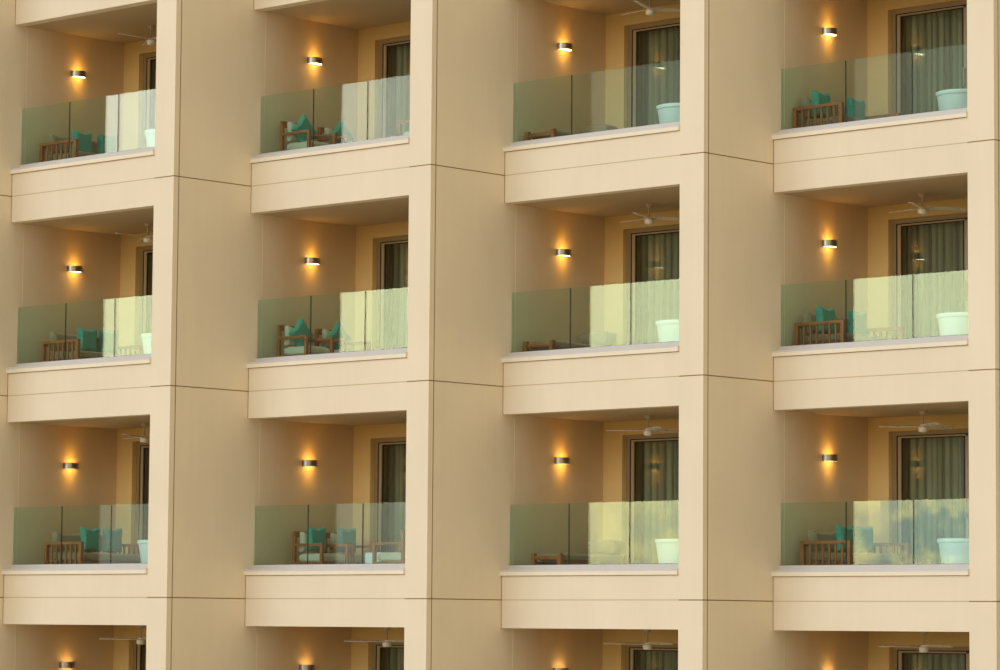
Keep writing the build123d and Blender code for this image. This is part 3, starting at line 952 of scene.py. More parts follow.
def softened(node: str, width: float, material: Material, mesh: Mesh | None = None) -> None:
    """Round the edges of a node's mesh, or of another mesh, and let it stand for the node.

    Each face gets a map in metres whose first axis, which the grain of wood follows, is its longest side.

    Args:
        node: The frame's node.
        width: Width of the rounded edge in metres.
        material: Finish of the piece.
        mesh: Mesh to round, or None for a closed-up copy of the node's own.
    """
    if mesh is None:
        mesh = bmesh.new()
        mesh.from_mesh(frame["nodes"][node].data)
        bmesh.ops.remove_doubles(mesh, verts=mesh.verts, dist=1e-5)
        bmesh.ops.dissolve_limit(mesh, angle_limit=math.radians(1.0), verts=mesh.verts, edges=mesh.edges)
    bmesh.ops.recalc_face_normals(mesh, faces=mesh.faces)
    layer = mesh.loops.layers.uv.new("along")
    for face in mesh.faces:
        longest = max(face.edges, key=lambda edge: edge.calc_length())
        along = (longest.verts[1].co - longest.verts[0].co).normalized()
        across = face.normal.cross(along)
        for loop in face.loops:
            loop[layer].uv = (loop.vert.co.dot(along), loop.vert.co.dot(across))
    piece = add_mesh(f"{node}_finished", mesh, material)
    bevel = piece.modifiers.new("edges", "BEVEL")
    bevel.width = width
    bevel.segments = 2
    bevel.limit_method = "ANGLE"
    bevel.angle_limit = math.radians(40.0)
    bevel.harden_normals = False
    make_plain(piece)
    smooth(piece)
    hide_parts(node)
    settle(piece)


@dataclass
class Part:
    """One kind of thing on the block, such as its fans.

    Attributes:
        plan: The block's plan.
        paints: Its finishes.
        repeater: What sets units out over the block.
    """

    plan: BlockPlan
    paints: Paints
    repeater: Repeater

    def build(self) -> None:
        """Make all of its pieces."""
        raise NotImplementedError

    def put(self, shape: Shape, name: str, paint: str, slot: str, stands_for: str | None = None,
            places: Iterable[Vector] | None = None) -> Piece:
        """Set a shape out over the block as one finished piece.

        Args:
            shape: The shape, in a bay's own frame. It is used up.
            name: Name of the piece.
            paint: Its finish.
            slot: Slot of the record meant for it; not used.
            stands_for: Node that it replaces, for the rounded pieces that replace one.
            places: Corners that have it, or None for every balcony.

        Returns:
            The piece.
        """
        unit = shape.piece(name + "_unit", self.paints[paint])
        piece = self.repeater.spread(unit, name, places or self.plan.everywhere(), self.paints[paint])
        if stands_for is not None:
            smooth(piece)
            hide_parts(stands_for)
        return settle(piece)


@dataclass
class Woodwork(Part):
    """The wooden frames of the sofas, armchairs and daybeds, and the small table.

    Attributes:
        edge: Width of the rounded edges.
        table_edge: The same on the small table.
        bed_size: Width, length and height of a daybed.
        bed_post: Width of its posts.
        bed_deck: Height of the top of its slats.
        bed_rail: Height of the rails that carry the slats.
        bed_slats: Number of slats under the mattress.
        slat: Thickness of a slat.
        slat_half: Half its width.
        seam: Gap between a post and what meets it.
    """

    edge: float = 0.005
    table_edge: float = 0.012
    bed_size: Point = (0.60, 1.60, 0.37)
    bed_post: float = 0.07
    bed_deck: float = 0.25
    bed_rail: float = 0.09
    bed_slats: int = 14
    slat: float = 0.0135
    slat_half: float = 0.03
    seam: float = 0.0005

    def build(self) -> None:
        """Make every frame with rounded edges."""
        wood = self.paints["oiled_wood"]
        softened("sofa_frames", self.edge, wood)
        softened("armchair_frames", self.edge, wood)
        softened("daybed_frames", self.edge, wood, self.daybeds())
        softened("small_tables", self.table_edge, self.paints["tub_white"])

    def daybeds(self) -> Mesh:
        """Posts, open ends, rails and slats of every daybed.

        Returns:
            One mesh of them all.
        """
        shape = Shape()
        wide, long, tall = self.bed_size
        post, deck, rail, seam = self.bed_post, self.bed_deck, self.bed_rail, self.seam
        bars = []
        for x in (0.0, wide - post):
            bars += [((x, y, 0.0), (x + post, y + post, tall)) for y in (0.0, long - post)]
            bars.append(((x + 0.012, post + seam, deck - rail),
                         (x + post - 0.012, long - post - seam, deck - 0.014)))
        for y in (0.018, long - post + 0.018):
            bars.append(((post + seam, y, tall - 0.095), (wide - post - seam, y + 0.034, tall - 0.035)))
        pitch = (long - 2 * post) / self.bed_slats
        for number in range(self.bed_slats):
            y = post + pitch * (number + 0.5)
            bars.append(((0.02, y - self.slat_half, deck - self.slat),
                         (wide - 0.02, y + self.slat_half, deck)))
        for storey, gap in DAYBED_GAPS:
            corner = self.plan.at(DAYBED_BAY, storey, (gap, DAYBED_FRONT, self.plan.floor))
            for low, high in bars:
                shape.box(tuple(corner + Vector(low)), tuple(corner + Vector(high)))
        return shape.mesh


@dataclass
class PadKind:
    """One kind of cushion or mattress.

    Attributes:
        name: Name of the piece that holds them all.
        node: Node whose solids it stands for.
        size: Width along X, Y and Z of one cushion in metres.
        material: Its finish.
        places: Least corner of each cushion.
        voxel: Size of the remesh in metres.
        reach: How far a point may swell in metres.
        inset: How much smaller the starting form is on each side.
        pinch: How much thinner it gets toward its edges.
        cornerwise: Whether it stands on a corner between the arms of its chair.
    """

    name: str
    node: str
    size: Point
    material: str
    places: list[Vector]
    voxel: float = 0.03
    reach: float = 0.02
    inset: float = 0.012
    pinch: float = 0.03
    cornerwise: bool = False


@dataclass(frozen=True)
class SofaPlace:
    """Where one sofa stands.

    Attributes:
        bay: Bay number.
        storey: Storey number.
        gap: Gap between the left wall and the sofa.
        loose: From the sofa's front to its first loose cushion.
    """

    bay: int
    storey: int
    gap: float
    loose: float


@dataclass(frozen=True)
class ChairRow:
    """The armchairs of one storey.

    Attributes:
        storey: Storey number.
        gap: Gap between the left wall and the chairs that face right.
        fronts: From the bay's front to each of them.
        facing_gap: Gap between the right wall and the chair that faces left, where there is one.
        cornerwise: Whether their loose cushions stand on a corner.
    """

    storey: int
    gap: float
    fronts: tuple[float, float]
    facing_gap: float | None = None
    cornerwise: bool = False


SOFAS = (SofaPlace(1, 1, 0.50, 0.49), SofaPlace(1, 2, 0.33, 0.49), SofaPlace(1, 3, 0.19, 0.42),
         SofaPlace(4, 1, 0.19, 0.49), SofaPlace(4, 2, 0.08, 0.16), SofaPlace(4, 3, 0.05, 0.09))
CHAIRS = (ChairRow(1, 0.30, (0.70, 1.36), 0.73), ChairRow(2, 0.20, (0.41, 1.22), cornerwise=True),
          ChairRow(3, 0.20, (0.41, 1.22), 0.29, cornerwise=True))


@dataclass
class Padding(Part):
    """All the cushions, mattresses and bolsters, swelled by a cloth simulation.

    Attributes:
        chair_bay: Bay that the armchairs stand in.
        sofa_front: From the bay's front to a sofa.
        facing_front: The same to a chair that faces left.
        chair_width: Width of an armchair over its arms.
        seat_low: Height of the underside of a seat cushion over the floor.
        seat_top: Height of its top, where the others stand.
        arm_top: Height of the top of the arms.
        arm_inner: Width of an arm with its clearance.
        corner_top: Height over the seat of a cushion that stands on its corner.
        fill: How full a cushion is; not used.
        smooth_angle: Least angle in degrees of an edge that stays sharp.
        pressure: Pressure in the cloth runs.
        frames: Length of a cloth run.
        margin: How far a cushion stays inside its solid's box.
        cuts: Cuts across each side of the starting form.
        edge_thin: Share by which every kind gets thinner toward its edges.
        side_pull: Share by which the sides pull in between the corners.
    """

    chair_bay: int = 2
    sofa_front: float = 0.40
    facing_front: float = 0.70
    chair_width: float = 0.60
    seat_low: float = 0.2403
    seat_top: float = 0.3806
    arm_top: float = 0.5303
    arm_inner: float = 0.054
    corner_top: float = 0.52
    fill: float = 0.7
    smooth_angle: float = 60.0
    pressure: float = 4.0
    frames: int = 20
    margin: float = 0.001
    cuts: int = 7
    edge_thin: float = 0.12
    side_pull: float = 0.035

    def on_sofas(self, x: float, y: float, z: float) -> list[Vector]:
        """Places of a cushion on every sofa, from the sofa's corner."""
        return [self.plan.at(sofa.bay, sofa.storey, (sofa.gap + x, self.sofa_front + y, self.plan.floor + z))
                for sofa in SOFAS]

    def loose_on_sofas(self, x: float, y: float, z: float) -> list[Vector]:
        """Places of the two loose cushions of every sofa, the second ones from the sofa's corner.

        Args:
            x: From the sofa's left side.
            y: From its front, for the second ones.
            z: Over the floor.

        Returns:
            The places.
        """
        first = [self.plan.at(sofa.bay, sofa.storey, (sofa.gap + x, self.sofa_front + sofa.loose,
                                                      self.plan.floor + z)) for sofa in SOFAS]
        return first + self.on_sofas(x, y, z)

    def on_chairs(self, x: float, y: float, z: float, cornerwise: bool | None = None) -> list[Vector]:
        """Places of a cushion on the armchairs that face right, of all rows or of one sort of row."""
        return [self.plan.at(self.chair_bay, row.storey, (row.gap + x, front + y, self.plan.floor + z))
                for row in CHAIRS if cornerwise in (None, row.cornerwise) for front in row.fronts]

    def on_facing_chairs(self, back: float, y: float, z: float) -> list[Vector]:
        """Places of a cushion on the armchairs that face left, from the back of the chair.

        Args:
            back: From the back of the chair.
            y: From its front.
            z: Over the floor.

        Returns:
            The places.
        """
        return [self.plan.at(self.chair_bay, row.storey, (self.plan.opening - row.facing_gap - back,
                                                          self.facing_front + y, self.plan.floor + z))
                for row in CHAIRS if row.facing_gap is not None]

    def on_daybeds(self, y: float, z: float) -> list[Vector]:
        """Places of a pad on every daybed, from the bed's corner."""
        return [self.plan.at(DAYBED_BAY, storey, (gap + 0.004, DAYBED_FRONT + y, self.plan.floor + z))
                for storey, gap in DAYBED_GAPS]

    def kinds(self) -> list[PadKind]:
        """Every kind of cushion, with its size and places.

        Returns:
            The kinds.
        """
        seat, top, side, near = self.seat_low, self.seat_top, 0.0453, 0.054
        loose = {"voxel": 0.02, "reach": 0.04, "pinch": 0.5}
        return [
            PadKind("sofa_seat_cushions", "sofa_cushions", (0.8507, 1.332, 0.14), "grey_cloth",
                    self.on_sofas(side, 0.064, seat)),
            PadKind("sofa_back_cushions", "sofa_cushions", (0.16, 0.664, 0.3447), "grey_cloth",
                    self.on_sofas(side, 0.064, top) + self.on_sofas(side, 0.732, top), reach=0.03),
            PadKind("sofa_loose_cushions", "scatter_cushions", (0.14, 0.45, 0.45), "teal_cloth",
                    self.loose_on_sofas(0.2056, 0.946, top), voxel=0.02, reach=0.045, pinch=0.5),
            PadKind("chair_seat_cushions", "armchair_cushions", (0.6147, 0.492, 0.14), "cream_cloth",
                    self.on_chairs(side, near, seat) + self.on_facing_chairs(0.66, near, seat), voxel=0.025),
            PadKind("chair_back_cushions", "armchair_cushions", (0.12, 0.492, 0.3497), "cream_cloth",
                    self.on_chairs(side, near, top) + self.on_facing_chairs(0.1653, near, top),
                    voxel=0.025, reach=0.025),
            PadKind("chair_loose_cushions", "scatter_cushions", (0.12, 0.45, 0.45), "teal_cloth",
                    self.on_chairs(0.1656, 0.075, top, cornerwise=False), **loose),
            PadKind("chair_corner_cushions", "scatter_cushions", (0.12, 0.45, 0.45), "teal_cloth",
                    self.on_chairs(0.1656, 0.0, top, cornerwise=True), cornerwise=True, **loose),
            PadKind("daybed_pads", "daybed_mattresses", (0.592, 1.452, 0.12), "grey_cloth",
                    self.on_daybeds(0.074, 0.2503)),
            PadKind("daybed_bolsters", "daybed_mattresses", (0.592, 0.30, 0.2297), "grey_cloth",
                    self.on_daybeds(1.226, 0.3706), reach=0.03),
        ]

    def stand_on_corner(self, piece: Piece, kind: PadKind) -> None:
        """Turn a cushion onto its corner and press it in at the seat and between the arms.

        Args:
            piece: The cushion, in its own box.
            kind: Its kind.
        """
        half = kind.size[1] / 2
        turn = Matrix.Rotation(math.radians(45.0), 3, "X")
        middle = Vector((0.0, self.chair_width / 2, self.corner_top - half * math.sqrt(2.0)))
        reach = self.chair_width / 2 - self.arm_inner
        for vertex in piece.data.vertices:
            own = turn @ (vertex.co - Vector((0.0, half, half))) + middle
            own.z = max(own.z, 0.001)
            if own.z + self.seat_top < self.arm_top:
                own.y = min(max(own.y, middle.y - reach), middle.y + reach)
            vertex.co = own

    def form(self, kind: PadKind) -> Piece:
        """Starting form of a cushion: a rounded slab whose sides pull in between its corners.

        Args:
            kind: Kind of the cushion.

        Returns:
            The form, in its own box.
        """
        shape = Shape()
        inset = kind.inset
        low = Vector((inset, inset, inset))
        high = Vector(kind.size) - low
        shape.box(tuple(low), tuple(high))
        bmesh.ops.subdivide_edges(shape.mesh, edges=shape.mesh.edges, cuts=self.cuts, use_grid_fill=True)
        middle = (low + high) / 2
        half = (high - low) / 2
        thin = min(range(3), key=lambda axis: kind.size[axis])
        wide = [axis for axis in range(3) if axis != thin]
        for vertex in shape.mesh.verts:
            place = [(vertex.co[axis] - middle[axis]) / half[axis] for axis in range(3)]
            edge = max(abs(place[axis]) for axis in wide)
            slimmer = 1.0 - (self.edge_thin + kind.pinch) * edge ** 4
            vertex.co[thin] = middle[thin] + place[thin] * half[thin] * slimmer
            for axis, other in (wide, wide[::-1]):
                pull = 1.0 - self.side_pull * (1.0 - place[other] ** 2)
                vertex.co[axis] = middle[axis] + place[axis] * half[axis] * pull
        return shape.piece(kind.name + "_unit", self.paints[kind.material])

    def swell(self, piece: Piece, kind: PadKind) -> None:
        """Blow a cushion up a little as cloth, held inside its solid's box.

        Args:
            piece: The cushion's starting form.
            kind: Its kind.
        """
        remesh = piece.modifiers.new("remesh", "REMESH")
        remesh.mode = "VOXEL"
        remesh.voxel_size = kind.voxel
        make_plain(piece)
        start = [vertex.co.copy() for vertex in piece.data.vertices]
        cloth = piece.modifiers.new("cloth", "CLOTH")
        cloth.settings.effector_weights.gravity = 0.0
        cloth.settings.use_pressure = True
        cloth.settings.uniform_pressure_force = self.pressure
        cloth.settings.quality = 4
        cloth.point_cache.frame_start = 1
        cloth.point_cache.frame_end = self.frames
        scene = bpy.context.scene
        for number in range(1, self.frames + 1):
            scene.frame_set(number)
        make_plain(piece)
        scene.frame_set(1)
        for vertex, before in zip(piece.data.vertices, start):
            move = vertex.co - before
            if move.length > kind.reach:
                vertex.co = before + move * (kind.reach / move.length)
            for axis in range(3):
                vertex.co[axis] = min(max(vertex.co[axis], self.margin), kind.size[axis] - self.margin)
        if kind.cornerwise:
            self.stand_on_corner(piece, kind)
        rounder = piece.modifiers.new("rounder", "SUBSURF")
        rounder.levels = rounder.render_levels = 1
        make_plain(piece)
        smooth(piece, self.smooth_angle)

    def build(self) -> None:
        """Make every kind of cushion and set it out."""
        for kind in self.kinds():
            unit = self.form(kind)
            self.swell(unit, kind)
            piece = self.repeater.spread(unit, kind.name, kind.places, self.paints[kind.material])
            smooth(piece, self.smooth_angle)
            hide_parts(kind.node)
            settle(piece)


@dataclass
class Curtains(Part):
    """The drawn curtains behind the balcony doors, each one sheet in pleats.

    Attributes:
        side: From the bay's left edge to the curtain.
        gap: From the back wall to its front.
        depth: Depth of the deepest pleats.
        hem: Height of its foot over the floor.
        head: From the slab above down to its top.
        pleat: Mean width of a pleat.
        steps: Steps of the mesh across a pleat.
        rows: Steps of the mesh from foot to top.
        cloth: Thickness of the cloth.
        overlap: How far a pleat's cloth folds back over itself.
        lean: How far a leaning pleat moves along at its foot.
        spare: Space before and behind the deepest pleat.
        gathered: Share by which the pleats are shallower at the top.
        widths: Range of a pleat's width, as a share of the mean.
        depths: Range of its depth, as a share of the deepest.
        leaning: How much a pleat leans at the most.
    """

    side: float = 0.40
    gap: float = 0.09
    depth: float = 0.09
    hem: float = 0.03
    head: float = 0.0303
    pleat: float = 0.12
    steps: int = 8
    rows: int = 6
    cloth: float = 0.002
    overlap: float = 0.018
    lean: float = 0.004
    spare: float = 0.006
    gathered: float = 0.25
    widths: tuple[float, float] = (0.55, 1.45)
    depths: tuple[float, float] = (0.72, 1.0)
    leaning: float = 0.25

    def build(self) -> None:
        """Hang one curtain in every room."""
        for storey in range(self.plan.storeys):
            for bay in range(self.plan.bays):
                self.hang(bay, storey)

    def hang(self, bay: int, storey: int) -> None:
        """Make one curtain.

        Args:
            bay: Bay number.
            storey: Storey number.
        """
        chance = random.Random(100 * storey + bay)
        plan = self.plan
        width = plan.opening - 2 * self.side
        pleats = round(width / self.pleat)
        shares = [chance.uniform(*self.widths) for _ in range(pleats)]
        edges = [width * sum(shares[:number]) / sum(shares) for number in range(pleats + 1)]
        low = plan.floor + self.hem
        high = plan.storey + plan.floor - plan.slab - self.head
        count = pleats * self.steps
        half = self.depth / 2 - self.spare
        middle = plan.inner_face + self.gap + self.depth / 2
        depths = [chance.uniform(*self.depths) for _ in range(pleats + 1)]
        leans = [chance.uniform(-self.leaning, self.leaning) for _ in range(pleats + 1)]
        mesh = bmesh.new()
        fold = mesh.verts.layers.float.new("fold")
        grid = []
        for row in range(self.rows + 1):
            level = row / self.rows
            fullness = 1.0 - self.gathered * level ** 3
            line = []
            for column in range(count + 1):
                share = column / self.steps
                number = min(int(share), pleats - 1)
                inside = share - number
                deep = depths[number] * (1 - inside) + depths[number + 1] * inside
                lean = leans[number] * (1 - inside) + leans[number + 1] * inside
                turn = math.tau * share
                along = edges[number] + (edges[number + 1] - edges[number]) * inside
                x = self.side + along + self.overlap * math.sin(2 * turn) + self.lean * lean * (1 - level)
                x = min(max(x, self.side), self.side + width)
                y = middle + half * deep * fullness * math.sin(turn + lean * (1 - level))
                vertex = mesh.verts.new(plan.at(bay, storey, (x, y, low + (high - low) * level)))
                # Share for painted shade toward the back of each pleat and painted light toward its front,
                # with a random tone per pleat.
                vertex[fold] = 0.5 + 0.5 * deep * math.sin(turn + lean - 0.6) + 0.6 * lean
                line.append(vertex)
            grid.append(line)
        for below, above in zip(grid, grid[1:]):
            for column in range(count):
                mesh.faces.new((below[column], below[column + 1], above[column + 1], above[column]))
        piece = add_mesh(f"curtain_{bay}{storey}", mesh, self.paints["curtain_cloth"])
        solid = piece.modifiers.new("cloth", "SOLIDIFY")
        solid.thickness = self.cloth
        solid.offset = 0.0
        make_plain(piece)
        smooth(piece, 80.0)
        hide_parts("curtains")
        settle(piece)


@dataclass
class Fittings(Part):
    """Small fixed parts that repeat on every balcony and rear window.

    Attributes:
        door_side: From the bay's left edge to the door frame.
        door_head: Height of the frame's top.
        frame_front: From the bay's front to the frame.
        glass_back: From the frame's front to the glass of the front leaf.
        leaf_step: How far the other leaf is behind it.
        jamb: Width of frame and leaf beside the glass.
        head_bar: The same over the glass.
        sill: The same under the glass.
        meeting: Width of the bars where the leaves meet.
        casing: Width of the outer casing.
        casing_head: Height of its top bar.
        casing_proud: How far it stands out.
        leaf_proud: How far the bars of the leaves stand out.
        shadow: Width of the dark gap between casing and leaves.
        shadow_head: The same at the top.
        seal: Width of the rubber round the glass.
        seal_deep: Its depth.
        handle_low: Height of the foot of the pull over the floor.
        handle_tall: Length of the pull.
        track_side: From the bay's edges to the ends of the curtain track.
        gliders: Gaps between the gliders of a track.
        bead: Depths between which the plaster bead lies.
        glass_joint: Gap between the sheets of a balustrade.
        glass_pane: Width of a sheet.
        rail_top: Height of the top of the channel.
        glass_top: Height of the top of the glass.
        tile: Size of the floor tiles with their joints.
        tile_joint: Width of a joint between tiles.
        tiles_front: From the bay's front to the first tiles.
        flashing: Thickness of the metal over a coping.
        joint_half: Half the height of the joints round a pier.
        seam: Half the height of the level joint of a panel.
        corner_seal: How far a pier's sealant reaches round its corners.
        window: Width and height of a rear window.
        window_sill: Height of its foot over the floor.
        window_frame: Width of its frame.
        window_back: From the block's rear to its frame.
        bar_half: Half the width of its middle bar.
        window_bead: Width of the beads round its glass.
    """

    door_side: float = 0.385
    door_head: float = 2.565
    frame_front: float = 2.40
    glass_back: float = 0.021
    leaf_step: float = 0.044
    jamb: float = 0.16
    head_bar: float = 0.10
    sill: float = 0.06
    meeting: float = 0.08
    casing: float = 0.079
    casing_head: float = 0.062
    casing_proud: float = 0.012
    leaf_proud: float = 0.006
    shadow: float = 0.022
    shadow_head: float = 0.016
    seal: float = 0.014
    seal_deep: float = 0.010
    handle_low: float = 0.92
    handle_tall: float = 0.30
    track_side: float = 0.30
    gliders: int = 22
    bead: tuple[float, float] = (0.262, 0.278)
    glass_joint: float = 0.012
    glass_pane: float = 1.174
    rail_top: float = 0.52
    glass_top: float = 1.43
    tile: float = 0.6
    tile_joint: float = 0.004
    tiles_front: float = 0.2
    flashing: float = 0.0012
    joint_half: float = 0.0075
    seam: float = 0.0055
    corner_seal: float = 0.0125
    window: tuple[float, float] = (1.8, 1.4)
    window_sill: float = 0.9
    window_frame: float = 0.07
    window_back: float = 0.08
    bar_half: float = 0.035
    window_bead: float = 0.03

    def gaskets(self) -> None:
        """Dark rubber round each door pane, and dark strips as painted shadow in the gaps between the frame
        and its leaves.
        """
        shape, plan, front = Shape(), self.plan, self.frame_front
        middle, side = plan.opening / 2, self.door_side + self.jamb
        for left, right, glass in ((side, middle - self.meeting / 2, front + self.glass_back),
                                   (middle + self.meeting / 2, plan.opening - side,
                                    front + self.glass_back + self.leaf_step)):
            shape.border((left, glass - self.seal_deep, plan.floor + self.sill),
                         (right, glass, self.door_head - self.head_bar), self.seal)
        # Dark strips in the gaps beside the casing and between the leaves: painted shadow.
        gap = self.door_side + self.casing
        far, top = plan.opening - gap, self.door_head - self.casing_head
        for x0, x1, y, z in ((gap, gap + self.shadow, 0.007, plan.floor),
                             (far - self.shadow, far, 0.007, plan.floor),
                             (gap + self.shadow, far - self.shadow, 0.007, top - self.shadow_head),
                             (middle - 0.040, middle - 0.018, 0.001, plan.floor + 0.02)):
            shape.box((x0, front - y, z), (x1, front + 0.002, top))
        self.put(shape, "door_gaskets", "rubber", "bronze_aluminium")

    def door_trim(self) -> None:
        """Raised bars on the door frame: the outer casing with its track, and the bars of the leaves."""
        front, head, floor = self.frame_front, self.door_head, self.plan.floor
        left, right, middle = self.door_side, self.plan.opening - self.door_side, self.plan.opening / 2
        over = head - self.casing_head
        outer = Shape()
        inside, beyond = left + self.casing, right - self.casing
        for x0, x1, proud, z0, z1 in ((left, inside, self.casing_proud, floor, head),
                                      (beyond, right, self.casing_proud, floor, head),
                                      (inside, beyond, self.casing_proud, over, head),
                                      (inside, beyond, 0.030, floor, floor + 0.022)):
            outer.box((x0, front - proud, z0), (x1, front, z1))
        self.put(outer, "door_casings", "bronze_aluminium", "bronze_aluminium")
        stile, low, high = self.casing + self.shadow, floor + 0.024, over - self.shadow_head
        inner = Shape()
        for x0, x1, z0, z1 in ((left + stile, left + self.jamb - 0.001, low, high),
                               (right - self.jamb + 0.001, right - stile, low, high),
                               (middle - 0.016, middle + 0.040, low, high),
                               (left + self.jamb, right - self.jamb, head - self.head_bar, high),
                               (left + self.jamb, right - self.jamb, low, floor + self.sill)):
            inner.box((x0, front - self.leaf_proud, z0), (x1, front, z1))
        self.put(inner, "door_leaf_bars", "pale_bronze", "bronze_aluminium")

    def handles(self) -> None:
        """Upright pull on the sliding leaf."""
        shape = Shape()
        x = self.plan.opening / 2 + 0.004
        front = self.frame_front - self.leaf_proud
        low = self.plan.floor + self.handle_low
        high = low + self.handle_tall
        shape.box((x, front - 0.052, low), (x + 0.022, front - 0.040, high))
        for z in (low + 0.02, high - 0.04):
            shape.box((x + 0.004, front - 0.040, z), (x + 0.018, front, z + 0.02))
        self.put(shape, "door_pulls", "satin_steel", "satin_steel")

    def tracks(self) -> None:
        """Curtain track and its gliders under the slab of the floor above."""
        shape, side, plan = Shape(), self.track_side, self.plan
        middle = plan.inner_face + 0.135
        top = plan.storey + plan.floor - plan.slab
        shape.box((side, middle - 0.016, top - 0.024), (plan.opening - side, middle + 0.016, top))
        for index in range(self.gliders + 1):
            x = 0.41 + (plan.opening - 0.82) * index / self.gliders
            shape.box((x - 0.006, middle - 0.004, top - 0.046), (x + 0.006, middle + 0.004, top - 0.024))
        self.put(shape, "curtain_tracks", "white_metal", "white_metal")

    def wall_beads(self) -> None:
        """Plaster bead down the left wall behind the glass, where the smoother paint of the recess begins;
        the inner colour there also carries painted lamplight and shade, fading in with depth.
        """
        shape = Shape()
        shape.box((0.0, self.bead[0], self.plan.floor), (0.003, self.bead[1], self.plan.ceiling))
        self.put(shape, "wall_beads", "cream_render", "cream_render")

    def glass_edges(self) -> None:
        """Dark bonded strips in the gaps between the sheets of glass, and the seals in the channel."""
        shape = Shape()
        low, high = self.rail_top, self.glass_top
        for x in (self.glass_joint + self.glass_pane, 2 * (self.glass_joint + self.glass_pane)):
            shape.box((x + 0.001, 0.172, low), (x + self.glass_joint - 0.001, 0.188, high - 0.003))
        for y in (0.162, 0.190):
            shape.box((0.0, y, low), (self.plan.opening, y + 0.008, low + 0.006))
        self.put(shape, "glass_seals", "rubber", "bronze_aluminium")

    def floor_tiles(self) -> None:
        """Tiles on the balcony floors, with their joints."""
        shape, plan, size, joint = Shape(), self.plan, self.tile, self.tile_joint
        for row in range(math.ceil((plan.balcony - self.tiles_front) / size)):
            for column in range(math.ceil(plan.opening / size)):
                x0, y0 = column * size + joint / 2, self.tiles_front + row * size + joint / 2
                x1, y1 = min(x0 + size - joint, plan.opening), min(y0 + size - joint, plan.balcony)
                shape.box((x0, y0, plan.floor - 0.001), (x1, y1, plan.floor + 0.0002))
        self.put(shape, "floor_tiles", "concrete", "concrete")

    def coping_caps(self) -> None:
        """White metal flashing over the top edge of each balcony's coping, up to the channel."""
        shape, wide, sheet = Shape(), self.plan.opening, self.flashing
        top, front = self.plan.coping_top, -self.plan.coping_over
        shape.box((0.0, front - sheet, top - 0.028), (wide, front, top + sheet))
        shape.box((0.0, front, top), (wide, 0.139, top + sheet))
        self.put(shape, "coping_caps", "white_metal", "white_metal")

    def sealant(self) -> None:
        """Sealed joints of the front panels: dark under the copings and at the left, dark also as painted
        shadow of the coping's overhang and of the gap at the pier, and pale at each level.
        """
        plan, dark, pale = self.plan, Shape(), Shape()
        wide, proud, left, seam = plan.opening, 0.0015, 0.010, self.seam
        for storey in range(plan.storeys + 1):
            level = storey * plan.storey
            top = plan.wall_top if storey == plan.storeys else level + plan.panel_rise
            # Under the coping: a sealed joint, dark also as painted shadow of the overhang.
            dark.box((0.0, -0.004, top - 0.007), (wide, 0.0, top))
            # At the left end: a sealed joint, dark also as painted shadow in the gap at the pier.
            dark.box((0.0, -proud, max(0.0, level - plan.panel_drop)), (left, 0.0, top - 0.007))
            if storey:
                pale.box((left, 0.0005, level - seam), (wide, 0.013, level + seam))
        places = [plan.at(bay) for bay in range(plan.bays)]
        self.put(dark, "front_sealant", "sealant", "cream_render", places=places)
        self.put(pale, "level_sealant", "pale_sealant", "cream_render", places=places)

    def pier_sealant(self) -> None:
        """Dark sealant in the level joints and the upright joint of every pier, laid over the grooves and
        dark also as their painted shadow.
        """
        plan, shape, half, edge = self.plan, Shape(), self.joint_half, self.corner_seal
        proud, front = 0.001, -self.plan.step
        for storey in range(1, plan.storeys + 1):
            z = storey * plan.storey
            shape.box((-plan.pier + 0.001, front - proud, z - half), (proud, front + edge, z + half))
            shape.box((-edge, front + edge, z - half), (proud, 0.0, z + half))
        shape.box((-edge, front + plan.upright_joint - half, 0.0),
                  (proud, front + plan.upright_joint + half, plan.wall_top))
        places = [plan.at(bay) for bay in range(1, plan.bays)]
        self.put(shape, "pier_sealant", "sealant", "cream_render", places=places)

    def rear_bars(self) -> None:
        """Middle bar and inner beads of the rear windows, with their sills."""
        plan, frame_wide, half = self.plan, self.window_frame, self.bar_half
        wide, tall = self.window
        foot = plan.floor + self.window_sill
        low, high = foot + frame_wide, foot + tall - frame_wide
        x0, x1 = (plan.opening - wide) / 2 + frame_wide, (plan.opening + wide) / 2 - frame_wide
        face, middle = plan.rear_face - self.window_back, (x0 + x1) / 2
        bars, sills = Shape(), Shape()
        bars.box((middle - half, face - 0.09, low), (middle + half, face, high))
        for left, right in ((x0, middle - half), (middle + half, x1)):
            bars.border((left, face - 0.030, low), (right, face - 0.012, high), self.window_bead)
        self.put(bars, "rear_window_bars", "bronze_aluminium", "bronze_aluminium")
        sills.box((x0 - frame_wide, face, foot), (x1 + frame_wide, plan.rear_face + 0.03, foot + 0.025))
        self.put(sills, "rear_sills", "coping_cream", "coping_cream")

    def build(self) -> None:
        """Make every kind of fitting."""
        for make in (self.gaskets, self.door_trim, self.handles, self.tracks, self.wall_beads,
                     self.glass_edges, self.floor_tiles, self.coping_caps, self.sealant,
                     self.pier_sealant, self.rear_bars):
            make()


